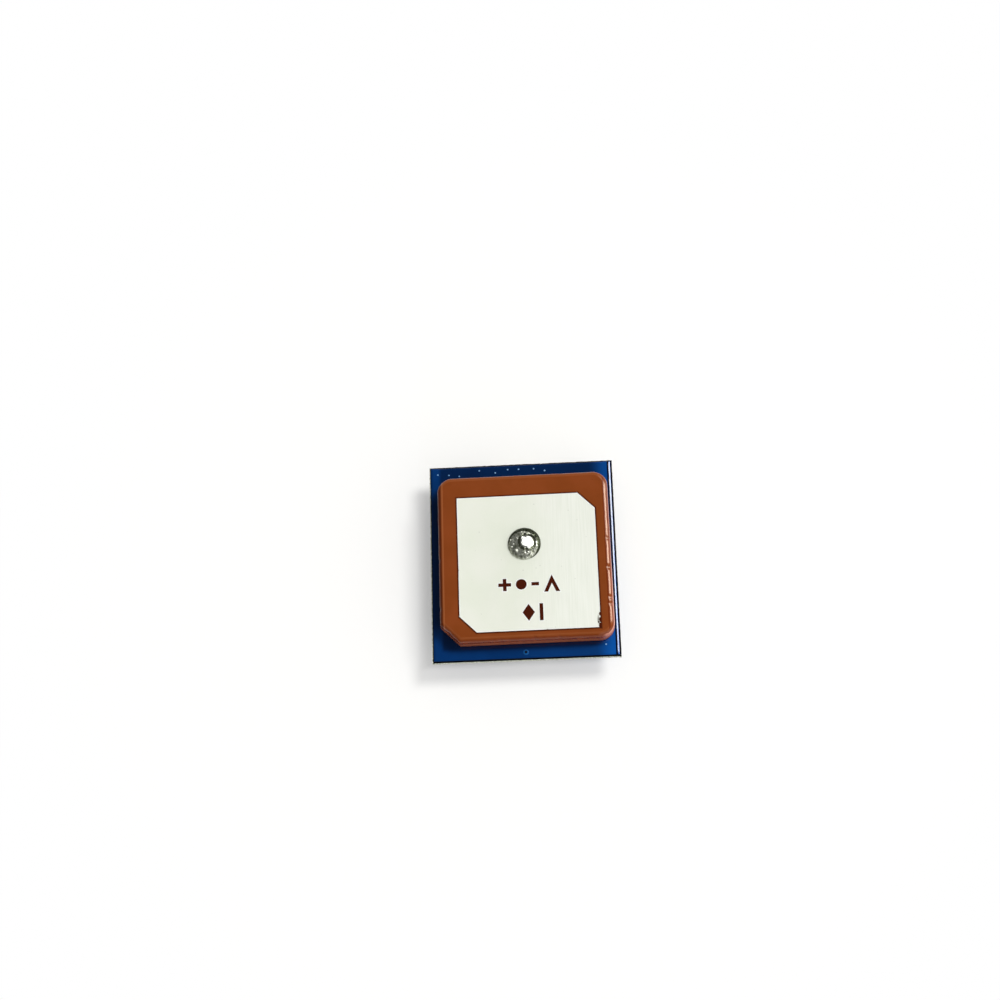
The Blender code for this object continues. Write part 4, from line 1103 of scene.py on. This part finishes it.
def backup_cell(steel):
    low, high = span("backup_cell")
    centre = (low + high) / 2
    radius = (high.x - low.x) / 2
    inner, outer, depth = CELL_GROOVE
    lip, corner = CELL_LIP_RADIUS, CELL_CORNER_RADIUS
    rings = [(radius - corner - 0.02, low.z)]
    rings += arc((radius - corner, low.z + corner), corner, -90, 0)
    rings += arc((radius - lip, high.z - lip), lip, 0, 90)
    rings += [(outer, high.z), (outer, high.z - depth), (inner, high.z - depth), (inner, high.z)]
    cell = lathe("cell_can", centre, rings, steel, 128)
    finish(cell, None, ["backup_cell"], 40)


def weld_dents(tab, spots, face):
    """Round dents in a tab's lower face, where it was spot welded to the cell."""
    level = face - (WELD_RADIUS - WELD_DEPTH)
    for x, y in spots:
        dent = {"segments": 24, "ring_count": 16, "radius": WELD_RADIUS, "location": (x, y, level)}
        cut(tab, placed(bpy.ops.mesh.primitive_uv_sphere_add, **dent))


def cell_tabs(nickel, unit):
    cell = side_of("backup_cell")
    for node_name, side in (("cell_tab_upper", 1), ("cell_tab_lower", -1)):
        tab = copy_of(node_name, node_name + "_detailed")
        if side < 0:
            spots = [(cell.x + x, cell.y + y) for x, y in WELD_OFFSETS]
            weld_dents(tab, spots, span(node_name)[0].z)
        round_edges(tab, 0.02)
        coat(tab, nickel)
        foot = side_of(node_name, side)
        pieces = [tab, soldered_under(unit, (foot.x - side * 0.02, foot.y), (side, 0), 1.5, *TAB_SOLDER)]
        for y in (1, -1):
            spot = (foot.x - side * 0.5, foot.y + y * (TAB_WIDTH / 2 - 0.01))
            pieces.append(soldered_under(unit, spot, (0, y), 0.9, *TAB_SOLDER))
        piece = join(node_name + "_detailed", pieces)
        finish(piece, None, [node_name], 40)


def socket(nylon, tin, unit):
    housing = copy_of("connector_housing", "socket_housing")
    round_edges(housing, 0.03, 40)
    finish(housing, nylon, ["connector_housing"], 40)
    for name, radius, way, solder_size in SOCKET_LEADS:
        node_name = "connector_" + name
        lead = copy_of(node_name, "socket_" + name)
        round_edges(lead, radius)
        coat(lead, tin)
        toe = soldered_under(unit, side_of(node_name, *way) - Vector(way) * 0.01, way, *solder_size)
        piece = join("socket_" + name, [lead, toe])
        finish(piece, None, [node_name], 40)


def feed_pin(tin, solder_finish):
    low, high = span("feed_pin")
    centre = (low + high) / 2
    radius, tip = PIN_DIAMETER / 2, PIN_TIP_RADIUS
    rings = [(radius - tip - 0.02, low.z)] + arc((radius - tip, low.z + tip), tip, -90, 0)
    head, under_head = high.x - centre.x, high.z - HEAD_THICKNESS
    rings += [(radius, under_head), (head, under_head), (head, high.z)]
    finish(lathe("headed_pin", centre, rings, tin, 48), None, ["feed_pin"], 40)

    low, high = span("feed_solder_bottom")
    lip = radius + CONE_LIP
    reach = (high.x - low.x) / 2 - lip
    height = high.z - low.z
    rings = [(radius + 0.005, low.z + 0.05), (radius + 0.05, low.z)]
    for step in range(13):
        angle = math.radians(90 * step / 12)
        rings.append((lip + reach * (1 - math.cos(angle)), low.z + 0.02 + (height - 0.02) * math.sin(angle)))
    cone = lathe("solder_cone", centre, rings, solder_finish)
    for vert in cone.data.vertices:
        outward = Vector((vert.co.x - centre.x, vert.co.y - centre.y, 0))
        if outward.length > lip:
            vert.co += outward.normalized() * 0.05 * noise.noise(vert.co * 1.7)
    finish(cone, None, ["feed_solder_bottom"], 60)


def dogleg(start, end):
    """A trace's route: straight, then at 45 degrees."""
    reach = end - start
    slant = min(abs(reach.x), abs(reach.y))
    if abs(reach.x) > abs(reach.y):
        corner = Vector((end.x - math.copysign(slant, reach.x), start.y))
    else:
        corner = Vector((start.x, end.y - math.copysign(slant, reach.y)))
    return [start, corner, end]


def traces(mask):
    """Copper under the solder mask, which lifts it a little."""
    runs = (
        (("feed_solder_bottom", 1, 0), ("amplifier_chip", -1, 0), 0.34),
        (("amplifier_chip", 1, 0), ("saw_filter", -1, 0), 0.3),
        (("saw_filter", 0.6, 1), ("inductor_2", 0.9, -1), 0.2),
        (("amplifier_chip", 0.4, 1), ("inductor_1", 0.8, -1), 0.2),
        (("inductor_1", -0.8, 1), ("receiver_chip", 1, 0.7), 0.2),
        (("inductor_1", 1, 0), ("inductor_2", -1, 0), 0.26),
        (("capacitor_1", -1, 0), ("receiver_chip", 1, -0.35), 0.2),
        (("capacitor_1", 1, 0), ("capacitor_2", -1, 0), 0.26),
        (("capacitor_2", 1, 0), ("cell_tab_upper", 0.9, 1), 0.26),
        (("connector_contact_1", 0, -1), ("receiver_chip", 0.75, 1), 0.2),
        (("connector_contact_2", 0, -1), ("resistor_1", 0, 1), 0.2),
        (("connector_contact_3", 0, -1), ("resistor_2", 0, 1), 0.2),
        (("resistor_1", 0, -1), ("receiver_chip", 1, 0.9), 0.16),
        (("resistor_2", 0, -1), ("receiver_chip", 1, 0.55), 0.16),
        (("connector_contact_4", 0, -1), ("ferrite_bead", -0.9, -0.9), 0.34),
        (("ferrite_bead", 0, 1), ("voltage_regulator", -0.66, 1), 0.34),
        (("voltage_regulator", -0.66, -1), ("capacitor_9", 0, 1), 0.34),
        (("voltage_regulator", 0.66, -1), ("capacitor_10", 0, 1), 0.34),
        (("capacitor_9", 0, -1), ("capacitor_8", 0.9, 1), 0.3),
        (("capacitor_7", 1, 0), ("capacitor_8", -1, 0), 0.26),
        (("capacitor_7", -0.8, 0), ("cell_tab_upper", 1, 0.8), 0.26),
        (("oscillator", 0.7, -1), ("receiver_chip", -0.1, 1), 0.16),
        (("oscillator", 1, 0), ("capacitor_5", -1, 0), 0.2),
        (("oscillator", -1, 0), ("capacitor_6", 1, 0), 0.2),
        (("clock_crystal", 1, 0.8), ("receiver_chip", -1, 0.6), 0.16),
        (("clock_crystal", 1, -0.8), ("receiver_chip", -1, -0.1), 0.16),
        (("clock_crystal", 0, 1), ("capacitor_3", 0, -1), 0.16),
        (("clock_crystal", 0, -1), ("capacitor_4", 0, 1), 0.16),
        (("flash_memory_chip", -1, 0.6), ("resistor_5", 1, 0.8), 0.16),
        (("resistor_5", -1, -0.8), ("resistor_6", 1, -0.8), 0.16),
        (("flash_memory_chip", 1, 0.5), ("receiver_chip", 0.3, -1), 0.16),
        (("flash_memory_chip", 1, -0.1), ("receiver_chip", 0.5, -1), 0.16),
        (("flash_memory_chip", 1, -0.7), ("receiver_chip", 0.7, -1), 0.16),
        (("status_led_red", -0.8, -1), ("resistor_3", -0.9, 1), 0.2),
        (("resistor_3", 1, 0), ("oscillator", 0.2, 1), 0.2),
        (("status_led_blue", 0.8, -1), ("resistor_4", 0.9, 1), 0.2),
        (("resistor_4", -1, 0), ("ferrite_bead", 0.3, 1), 0.2),
        (("cell_tab_lower", -1, 0), ("flash_memory_chip", -0.5, -1), 0.3),
    )
    lines = [(dogleg(side_of(*start), side_of(*end)), width, False) for start, end, width in runs]
    piece = drawn_lines("board_traces", lines, BOARD_LOW.z, TRACE_HEIGHT, mask)
    finish(piece, None, angle=60)


def printed_marks(ink):
    """White ink: corners round the larger parts, two arcs round the cell, and the socket's outline."""
    lines = []
    for node_name, margin, reach in OUTLINED:
        low, high = span(node_name)
        for x, inward_x in ((low.x - margin, 1), (high.x + margin, -1)):
            for y, inward_y in ((low.y - margin, 1), (high.y + margin, -1)):
                points = [(x + reach * inward_x, y), (x, y), (x, y + reach * inward_y)]
                lines.append((points, INK_LINE, False))
    low, high = span("backup_cell")
    centre, radius = (low + high) / 2, (high.x - low.x) / 2 + 0.2
    for start, end in ((20, 160), (200, 340)):
        lines.append((arc(centre, radius, start, end, 40), INK_OUTLINE, False))
    low, high = span("connector_housing")
    for x, inward in ((low.x - 0.15, 1), (high.x + 0.15, -1)):
        points = [(x, 8.3), (x, low.y - 0.15), (x + 0.9 * inward, low.y - 0.15)]
        lines.append((points, INK_OUTLINE, False))
    piece = drawn_lines("board_print", lines, BOARD_LOW.z, INK_HEIGHT, ink)
    finish(piece, None, angle=60)


def vias(name, places, level, side, mask):
    """Plated holes covered by the mask: low rings with a dimple."""
    rings = [(radius, level + side * height) for radius, height in VIA_PROFILE]
    pieces = [lathe("via", place, rings, mask, 24) for place in places]
    finish(join(name, pieces), None, angle=60)


def open_via(dark, mask):
    """The one larger plated hole that the mask leaves open, by the front edge: a collar round a nearly black
    disc of painted shade.
    """
    pieces = []
    for name, profile, finish_used in (("via", OPEN_VIA_COLLAR, mask), ("via_hole", OPEN_VIA_HOLE, dark)):
        rings = [(radius, BOARD_HIGH.z + height) for radius, height in profile]
        pieces.append(lathe(name, OPEN_VIA, rings, finish_used, 32))
    finish(join("board_open_via", pieces), None, angle=60)


def board_body(mask, scored):
    """The board under its solder mask, with round shoulders where it was scored."""
    heights = [SHOULDER_RADIUS * math.cos(math.radians(tilt)) for tilt in SHOULDER_TILTS]
    reaches = [SHOULDER_RADIUS * math.sin(math.radians(tilt)) for tilt in SHOULDER_TILTS]
    inset = Vector((TORN_LEDGE, TORN_LEDGE, heights[-1] - heights[0]))
    board = block("board_body", BOARD_LOW + inset, BOARD_HIGH - inset)
    with editing(board):
        for side in (-1, 1):
            select(board, "faces", lambda f: f.normal.z * side > 0.99)
            for step in range(len(SHOULDER_TILTS) - 1):
                inwards, upwards = reaches[step] - reaches[step + 1], heights[step + 1] - heights[step]
                bpy.ops.mesh.inset(thickness=inwards, depth=upwards)
    coat(board, mask)
    # the steep sides take the nearly black painted shade
    board.data.materials.append(scored)
    for face in board.data.polygons:
        face.material_index = int(abs(face.normal.z) < 0.5)
    finish(board, None, ["circuit_board"], angle=7)


def torn_web():
    """The rough web that is left between the scores all round the board."""
    low, high = BOARD_LOW + Vector((0, 0, SCORE_DEPTH)), BOARD_HIGH - Vector((0, 0, SCORE_DEPTH))
    web = block("board_torn_edge", low, high)
    with editing(web):
        select(web, "faces", lambda f: abs(f.normal.z) > 0.5)
        bpy.ops.mesh.delete(type="ONLY_FACE")
        select(web, "edges", lambda e: abs(along(e).z) < 0.5)
        bpy.ops.mesh.subdivide(number_cuts=round((high.x - low.x) / WEB_STEP))
        select(web, "edges", lambda e: abs(along(e).z) > 0.5)
        bpy.ops.mesh.subdivide(number_cuts=WEB_LAYERS)
    for vert in web.data.vertices:
        inward = Vector((vert.co.x / high.x, vert.co.y / high.y, 0))
        inward = Vector([round(v) if abs(v) > 0.999 else 0 for v in inward])
        torn = 0.25 + 0.5 * noise.noise(vert.co * 3.1) + 0.5 * noise.noise(vert.co * 9.0)
        vert.co -= inward * max(0.0, min(torn, 1.0)) * WEB_ROUGHNESS
        vert.co.z += 0.25 * WEB_ROUGHNESS * noise.noise(vert.co * 7.0)
    modify(web, "SOLIDIFY", thickness=2 * TORN_LEDGE, offset=-1.0)
    finish(web, torn_laminate(), angle=60)


def antenna_frame():
    """The turn and place of the antenna, which was stuck on slightly askew."""
    low, high = span("antenna_ceramic")
    centre = (low + high) / 2
    return Matrix.Translation((centre.x, centre.y, 0)) @ Matrix.Rotation(ANTENNA_TURN, 4, "Z")


def antenna_ceramic():
    low, high = span("antenna_ceramic")
    half = CERAMIC_SIZE / 2
    ceramic = block("fired_ceramic_block", (-half, -half, low.z), (half, half, high.z))

    def front_left(edge):
        spot = middle(edge)
        return abs(along(edge).z) > 0.5 and spot.x < 0 and spot.y < 0

    def other_corner(edge):
        spot = middle(edge)
        at_corner = min(abs(spot.x), abs(spot.y)) > half - 0.01
        return abs(along(edge).z) > 0.5 and at_corner

    bevel(ceramic, front_left, CERAMIC_FLAT_CORNER)
    bevel(ceramic, other_corner, CERAMIC_CORNER, 10)
    bevel(ceramic, lambda e: min(v.co.z for v in e.verts) > high.z - 0.001, CERAMIC_RIM, 8)
    bevel(ceramic, lambda e: max(v.co.z for v in e.verts) < low.z + 0.001, CERAMIC_FOOT, 2)
    with editing(ceramic):
        for longest, shortest in ((CERAMIC_SIZE, 5), (CERAMIC_FLAT_CORNER, 1)):
            select(ceramic, "edges", lambda e: abs(along(e).z) < 0.1 and e.calc_length() > shortest)
            bpy.ops.mesh.subdivide(number_cuts=round(longest / RIM_STEP))
        select(ceramic, "faces", lambda f: f.normal.z > 0.9999)
        bpy.ops.mesh.inset(thickness=FLAT_MARGIN)

    ceramic.data.transform(antenna_frame())
    centre = Vector((0, 0, low.z))
    for vert in ceramic.data.vertices:
        if not high.z - 1.1 * CERAMIC_RIM < vert.co.z < high.z - 0.001:
            continue
        height = (vert.co.z - (high.z - CERAMIC_RIM)) / CERAMIC_RIM
        inward = (centre - vert.co).normalized()
        on_rim = max(0.0, min(1.0, 1.3 - abs(height - 0.5) * 2))
        wave = 0.6 + 0.8 * noise.noise(vert.co * 0.9) + 0.5 * noise.noise(vert.co * 3.3)
        vert.co += inward * RIM_WAVE * on_rim * max(0.0, wave)
        for x, y, size, depth in RIM_CHIPS:
            near = 1 - Vector((vert.co.x - x, vert.co.y - y)).length / size
            if near > 0:
                vert.co += (inward + Vector((0, 0, -0.8))) * depth * math.sqrt(near)
    finish(ceramic, fired_ceramic(), ["antenna_ceramic"], angle=50)


def top_electrode(silver):
    """The printed silver, with a thin raised edge, and worn away in places."""
    top = span("antenna_top_electrode")[1].z
    electrode = copy_of("antenna_top_electrode", "silver_top_electrode")
    coat(electrode, silver)
    electrode.data.materials.append(silver_edge())
    with editing(electrode):
        select(electrode, "faces", lambda f: f.normal.z > 0.9)
        bpy.ops.mesh.inset(thickness=ELECTRODE_EDGE, use_individual=False)
        bpy.ops.transform.translate(value=(0, 0, -ELECTRODE_BEAD))
        bpy.ops.mesh.select_all(action="INVERT")
        bpy.context.object.active_material_index = 1
        bpy.ops.object.material_slot_assign()
    for x, y, size, stretch in ELECTRODE_NICKS:
        spot = Vector((x, y, top))
        nick = placed(bpy.ops.mesh.primitive_ico_sphere_add, subdivisions=3, radius=size, location=spot)
        for vert in nick.data.vertices:
            out = vert.co - spot
            vert.co += out * 0.5 * noise.noise(vert.co * 6.0)
            vert.co.y += out.y * stretch
        cut(electrode, nick)
    finish(electrode, None, ["antenna_top_electrode"])


def dome_level(reach):
    """Height of the plain dome above its foot, as a share, at a share of its radius from its middle."""
    power, root = DOME_SHAPE
    return (1 - reach**power) ** root


def inside(distance, radius, fade):
    """1 well inside a circle, falling to 0 over a margin."""
    return min(max((radius - distance) / fade, 0.0), 1.0)


def solder_dome():
    """A blob of solder that froze unevenly: a smooth tilted crown in a wrinkled ring."""
    low, high = span("feed_solder_top")
    centre = (low + high) / 2 + Vector((*DOME_SHIFT, 0))
    radius, height = DOME_SPREAD * (high.x - low.x) / 2, high.z - low.z - DOME_MARGIN
    rings = [(radius * 0.98, low.z - 0.005)]
    for step in range(1, 25):
        reach = 1 - (step / 24) ** 1.6 * 0.985
        rings.append((radius * reach, low.z + height * dome_level(reach)))
    dome = lathe("solder_dome", centre, rings, None, 96)
    modify(dome, "REMESH", mode="VOXEL", voxel_size=DOME_STEP)
    lean = Vector(CROWN_LEAN)
    for vert in dome.data.vertices:
        if vert.co.z < low.z + 0.02:
            continue
        out = Vector((vert.co.x - centre.x, vert.co.y - centre.y))
        from_crown = out - Vector(CROWN_SHIFT)
        away = from_crown.length
        ragged = CROWN_RAGGED * (1.5 * noise.noise(vert.co * 2.9) - 0.25)
        if from_crown.x > 0:
            ragged *= 0.2
        on_crown = inside(away, CROWN_RADIUS * 1.25 + ragged, CROWN_RADIUS * 0.3)
        on_ring = (1 - on_crown) * inside(min(out.length / radius, 1.0), 1, 0.15)
        wrinkle = 0.07 * noise.noise(vert.co * 2.3) + 0.045 * noise.noise(vert.co * 6.0)
        vert.co += vert.normal * on_ring * wrinkle
        facet = high.z - CROWN_DROP - lean.dot(from_crown) - away**2 / (2 * CROWN_CURVE)
        vert.co.z += on_crown * (facet - vert.co.z)
        for x, y, size in DOME_GLINTS:
            spot = Vector((x, y))
            on_glint = inside((out - spot).length, size * 1.3, size * 0.5)
            facet = low.z + height * dome_level(spot.length / radius) - lean.dot(out - spot)
            vert.co.z += on_glint * (facet - vert.co.z)
    finish(dome, crown_solder(), ["feed_solder_top"], angle=70)


def floor():
    """A white table, which shades to plain white far from the module."""
    bpy.ops.object.select_all(action="DESELECT")
    bpy.ops.mesh.primitive_plane_add(size=FLOOR_SIZE)
    table = named("table")
    material, tree, shader, place = new_finish("table_white", 0.6)
    shader.inputs["Base Color"].default_value = screen(255, 254, 250)
    seen = node(tree, "ShaderNodeLightPath").outputs["Is Camera Ray"]
    axes = axes_of(tree, place)
    lift = spread(tree, axes[0], *CLOSE_TO_LEFT, FLOOR_LIFT, CLOSE_LIFT)
    in_front = spread(tree, axes[1], *CLOSE_TO_FRONT, 0.0, FLOOR_LIFT)
    lift = math_node(tree, "MAXIMUM", lift, in_front)
    start, end = (distance / MM for distance in FLOOR_CLEAR)
    far = spread(tree, vector_math(tree, "LENGTH", place), start, end, lift, 1.0)
    glow = math_node(tree, "SUBTRACT", 1.0, seen)
    for axis, reach in ((0, BOARD_HIGH.x), (1, BOARD_HIGH.y)):
        under = math_node(tree, "LESS_THAN", absolute(tree, axes[axis]), reach - GLOW_MARGIN)
        glow = times(tree, glow, under)
    plain = math_node(tree, "MAXIMUM", times(tree, seen, far), glow)
    white = node(tree, "ShaderNodeEmission", {"Color": (1, 1, 1, 1), "Strength": 1.0}).outputs[0]
    near = node(tree, "ShaderNodeMixShader", {0: plain, 1: shader.outputs[0], 2: white}).outputs[0]
    below = node(tree, "ShaderNodeNewGeometry").outputs["Backfacing"]
    clear = node(tree, "ShaderNodeBsdfTransparent").outputs[0]
    whole = node(tree, "ShaderNodeMixShader", {0: below, 1: near, 2: clear}).outputs[0]
    tree.links.new(whole, tree.nodes["Material Output"].inputs[0])
    table.data.materials.append(material)


def sky():
    """A white room, brighter to the right, with a dark ceiling in its reflections."""
    world = bpy.data.worlds.new("studio")
    world.use_nodes = True
    tree = world.node_tree
    direction = node(tree, "ShaderNodeTexCoord").outputs["Generated"]
    axes = axes_of(tree, direction)
    bias = times(tree, axes[0], SKY_TO_RIGHT)
    light = math_node(tree, "MAXIMUM", math_node(tree, "MULTIPLY_ADD", bias, SKY_LEVEL, SKY_LEVEL), 0.0)
    wall = math_node(tree, "MULTIPLY_ADD", axes[0], WALL_TO_RIGHT, WALL_LEVEL)
    wall = math_node(tree, "MULTIPLY_ADD", axes[1], -WALL_TO_FRONT, wall, clamp=True)
    overhead = spread(tree, axes[2], *CEILING_EDGES)
    plain = node(tree, "ShaderNodeMix", {0: overhead, 2: wall, 3: CEILING_LEVEL}).outputs[0]
    mirrored = plain
    for towards, level, edges in PANELS:
        facing = vector_math(tree, "DOT_PRODUCT", direction, Vector(towards).normalized())
        mirrored = math_node(tree, "ADD", mirrored, spread(tree, facing, *edges, 0.0, level))
    seen = node(tree, "ShaderNodeLightPath").outputs
    room = node(tree, "ShaderNodeMix", {0: seen["Is Glossy Ray"], 2: light, 3: mirrored}).outputs[0]
    direct = math_node(tree, "MAXIMUM", seen["Is Camera Ray"], seen["Is Transmission Ray"])
    strength = node(tree, "ShaderNodeMix", {0: direct, 2: room, 3: 1.0}).outputs[0]
    background = tree.nodes["Background"]
    background.inputs["Color"].default_value = (1, 1, 1, 1)
    tree.links.new(strength, background.inputs["Strength"])
    bpy.context.scene.world = world


def lamp(name, kind, direction, distance, tall_axis=(0, 0, 1), **settings):
    """A lamp that shines on the module from one direction."""
    bpy.ops.object.select_all(action="DESELECT")
    away = Vector(direction).normalized()
    across = Vector(tall_axis).cross(away).normalized()
    turn = Matrix((across, away.cross(across), away)).transposed()
    bpy.ops.object.light_add(type=kind, location=away * distance, rotation=turn.to_euler())
    made = bpy.context.object
    made.name = name
    for setting, value in settings.items():
        setattr(made.data, setting, value)
    return made


def camera():
    place, aim = Vector(CAMERA_PLACE) * MM, Vector(CAMERA_AIM) * MM
    roll = Matrix.Rotation(math.radians(CAMERA_ROLL), 3, "Z")
    turn = (aim - place).to_track_quat("-Z", "Y").to_matrix() @ roll
    bpy.ops.object.camera_add(location=place, rotation=turn.to_euler())
    made = bpy.context.object
    made.data.lens = CAMERA_LENS
    made.data.clip_start = 0.005
    made.data.clip_end = 10.0
    bpy.context.scene.camera = made


def studio():
    floor()
    sky()
    for name, direction, strength, angle in (
        ("key_light", KEY_DIRECTION, KEY_STRENGTH, KEY_ANGLE),
        ("fill_light", FILL_DIRECTION, FILL_STRENGTH, FILL_ANGLE),
    ):
        sun = lamp(name, "SUN", direction, 1.0, energy=strength, angle=math.radians(angle))
        sun.visible_glossy = False
    window = lamp(
        "window_light", "AREA", WINDOW_DIRECTION, WINDOW_DISTANCE, WINDOW_TALL_AXIS,
        energy=WINDOW_POWER, shape="RECTANGLE", size=WINDOW_SIZE[0], size_y=WINDOW_SIZE[1],
    )
    window.visible_diffuse = False
    camera()
    bpy.context.scene.view_settings.view_transform = "Standard"


def main():
    mask = solder_mask(on_board=True)
    bright_mask = solder_mask("solder_mask_on_copper", (16, 76, 134), (24, 90, 152))
    silver = fired_silver()
    solder_finish = solder()
    tin = metal_finish("tinned_metal", (184, 184, 178), (212, 212, 206), 0.26)
    steel = metal_finish("cell_steel", (186, 187, 186), (206, 207, 206), 0.24, 0.8)
    nickel = metal_finish("tab_nickel", (146, 144, 138), (170, 168, 161), 0.36, 0.8)
    nylon = moulded("socket_nylon", (226, 221, 204), (236, 232, 219), 0.42, 0.8)
    ink = moulded("printed_ink", (222, 224, 220), (238, 240, 236), 0.5)
    tape = moulded("tape", (220, 218, 208), (232, 230, 222), 0.7, 1.0)
    unit = fillet(solder_finish)

    # nearly black painted shade for the board's sides and the open via's hole
    scored = painted_shade_edge()
    board_body(mask, scored)
    torn_web()
    open_via(scored, bright_mask)
    # light blue mask over the vias: lighter over their copper, and lighter again as a painted highlight
    via_mask_and_highlight = solder_mask("solder_mask_on_vias_and_highlight", (80, 132, 190), (128, 176, 222))
    vias("board_vias_top", TOP_VIAS, BOARD_HIGH.z, 1, via_mask_and_highlight)
    vias("board_vias_underside", UNDERSIDE_VIAS, BOARD_LOW.z, -1, via_mask_and_highlight)
    traces(bright_mask)
    printed_marks(ink)
    antenna_ceramic()
    top_electrode(silver)
    solder_dome()
    feed_pin(tin, solder_finish)
    chips(tin, unit)
    packages(tin, unit)
    status_lights(tin, unit)
    chip_parts(tin, unit)
    backup_cell(steel)
    cell_tabs(nickel, unit)
    socket(nylon, tin, unit)
    bpy.data.objects.remove(unit)
    for node_name, finish_used in (("antenna_tape", tape), ("antenna_ground_electrode", silver)):
        for material_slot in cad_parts[node_name].material_slots:
            material_slot.material = finish_used
    studio()


main()
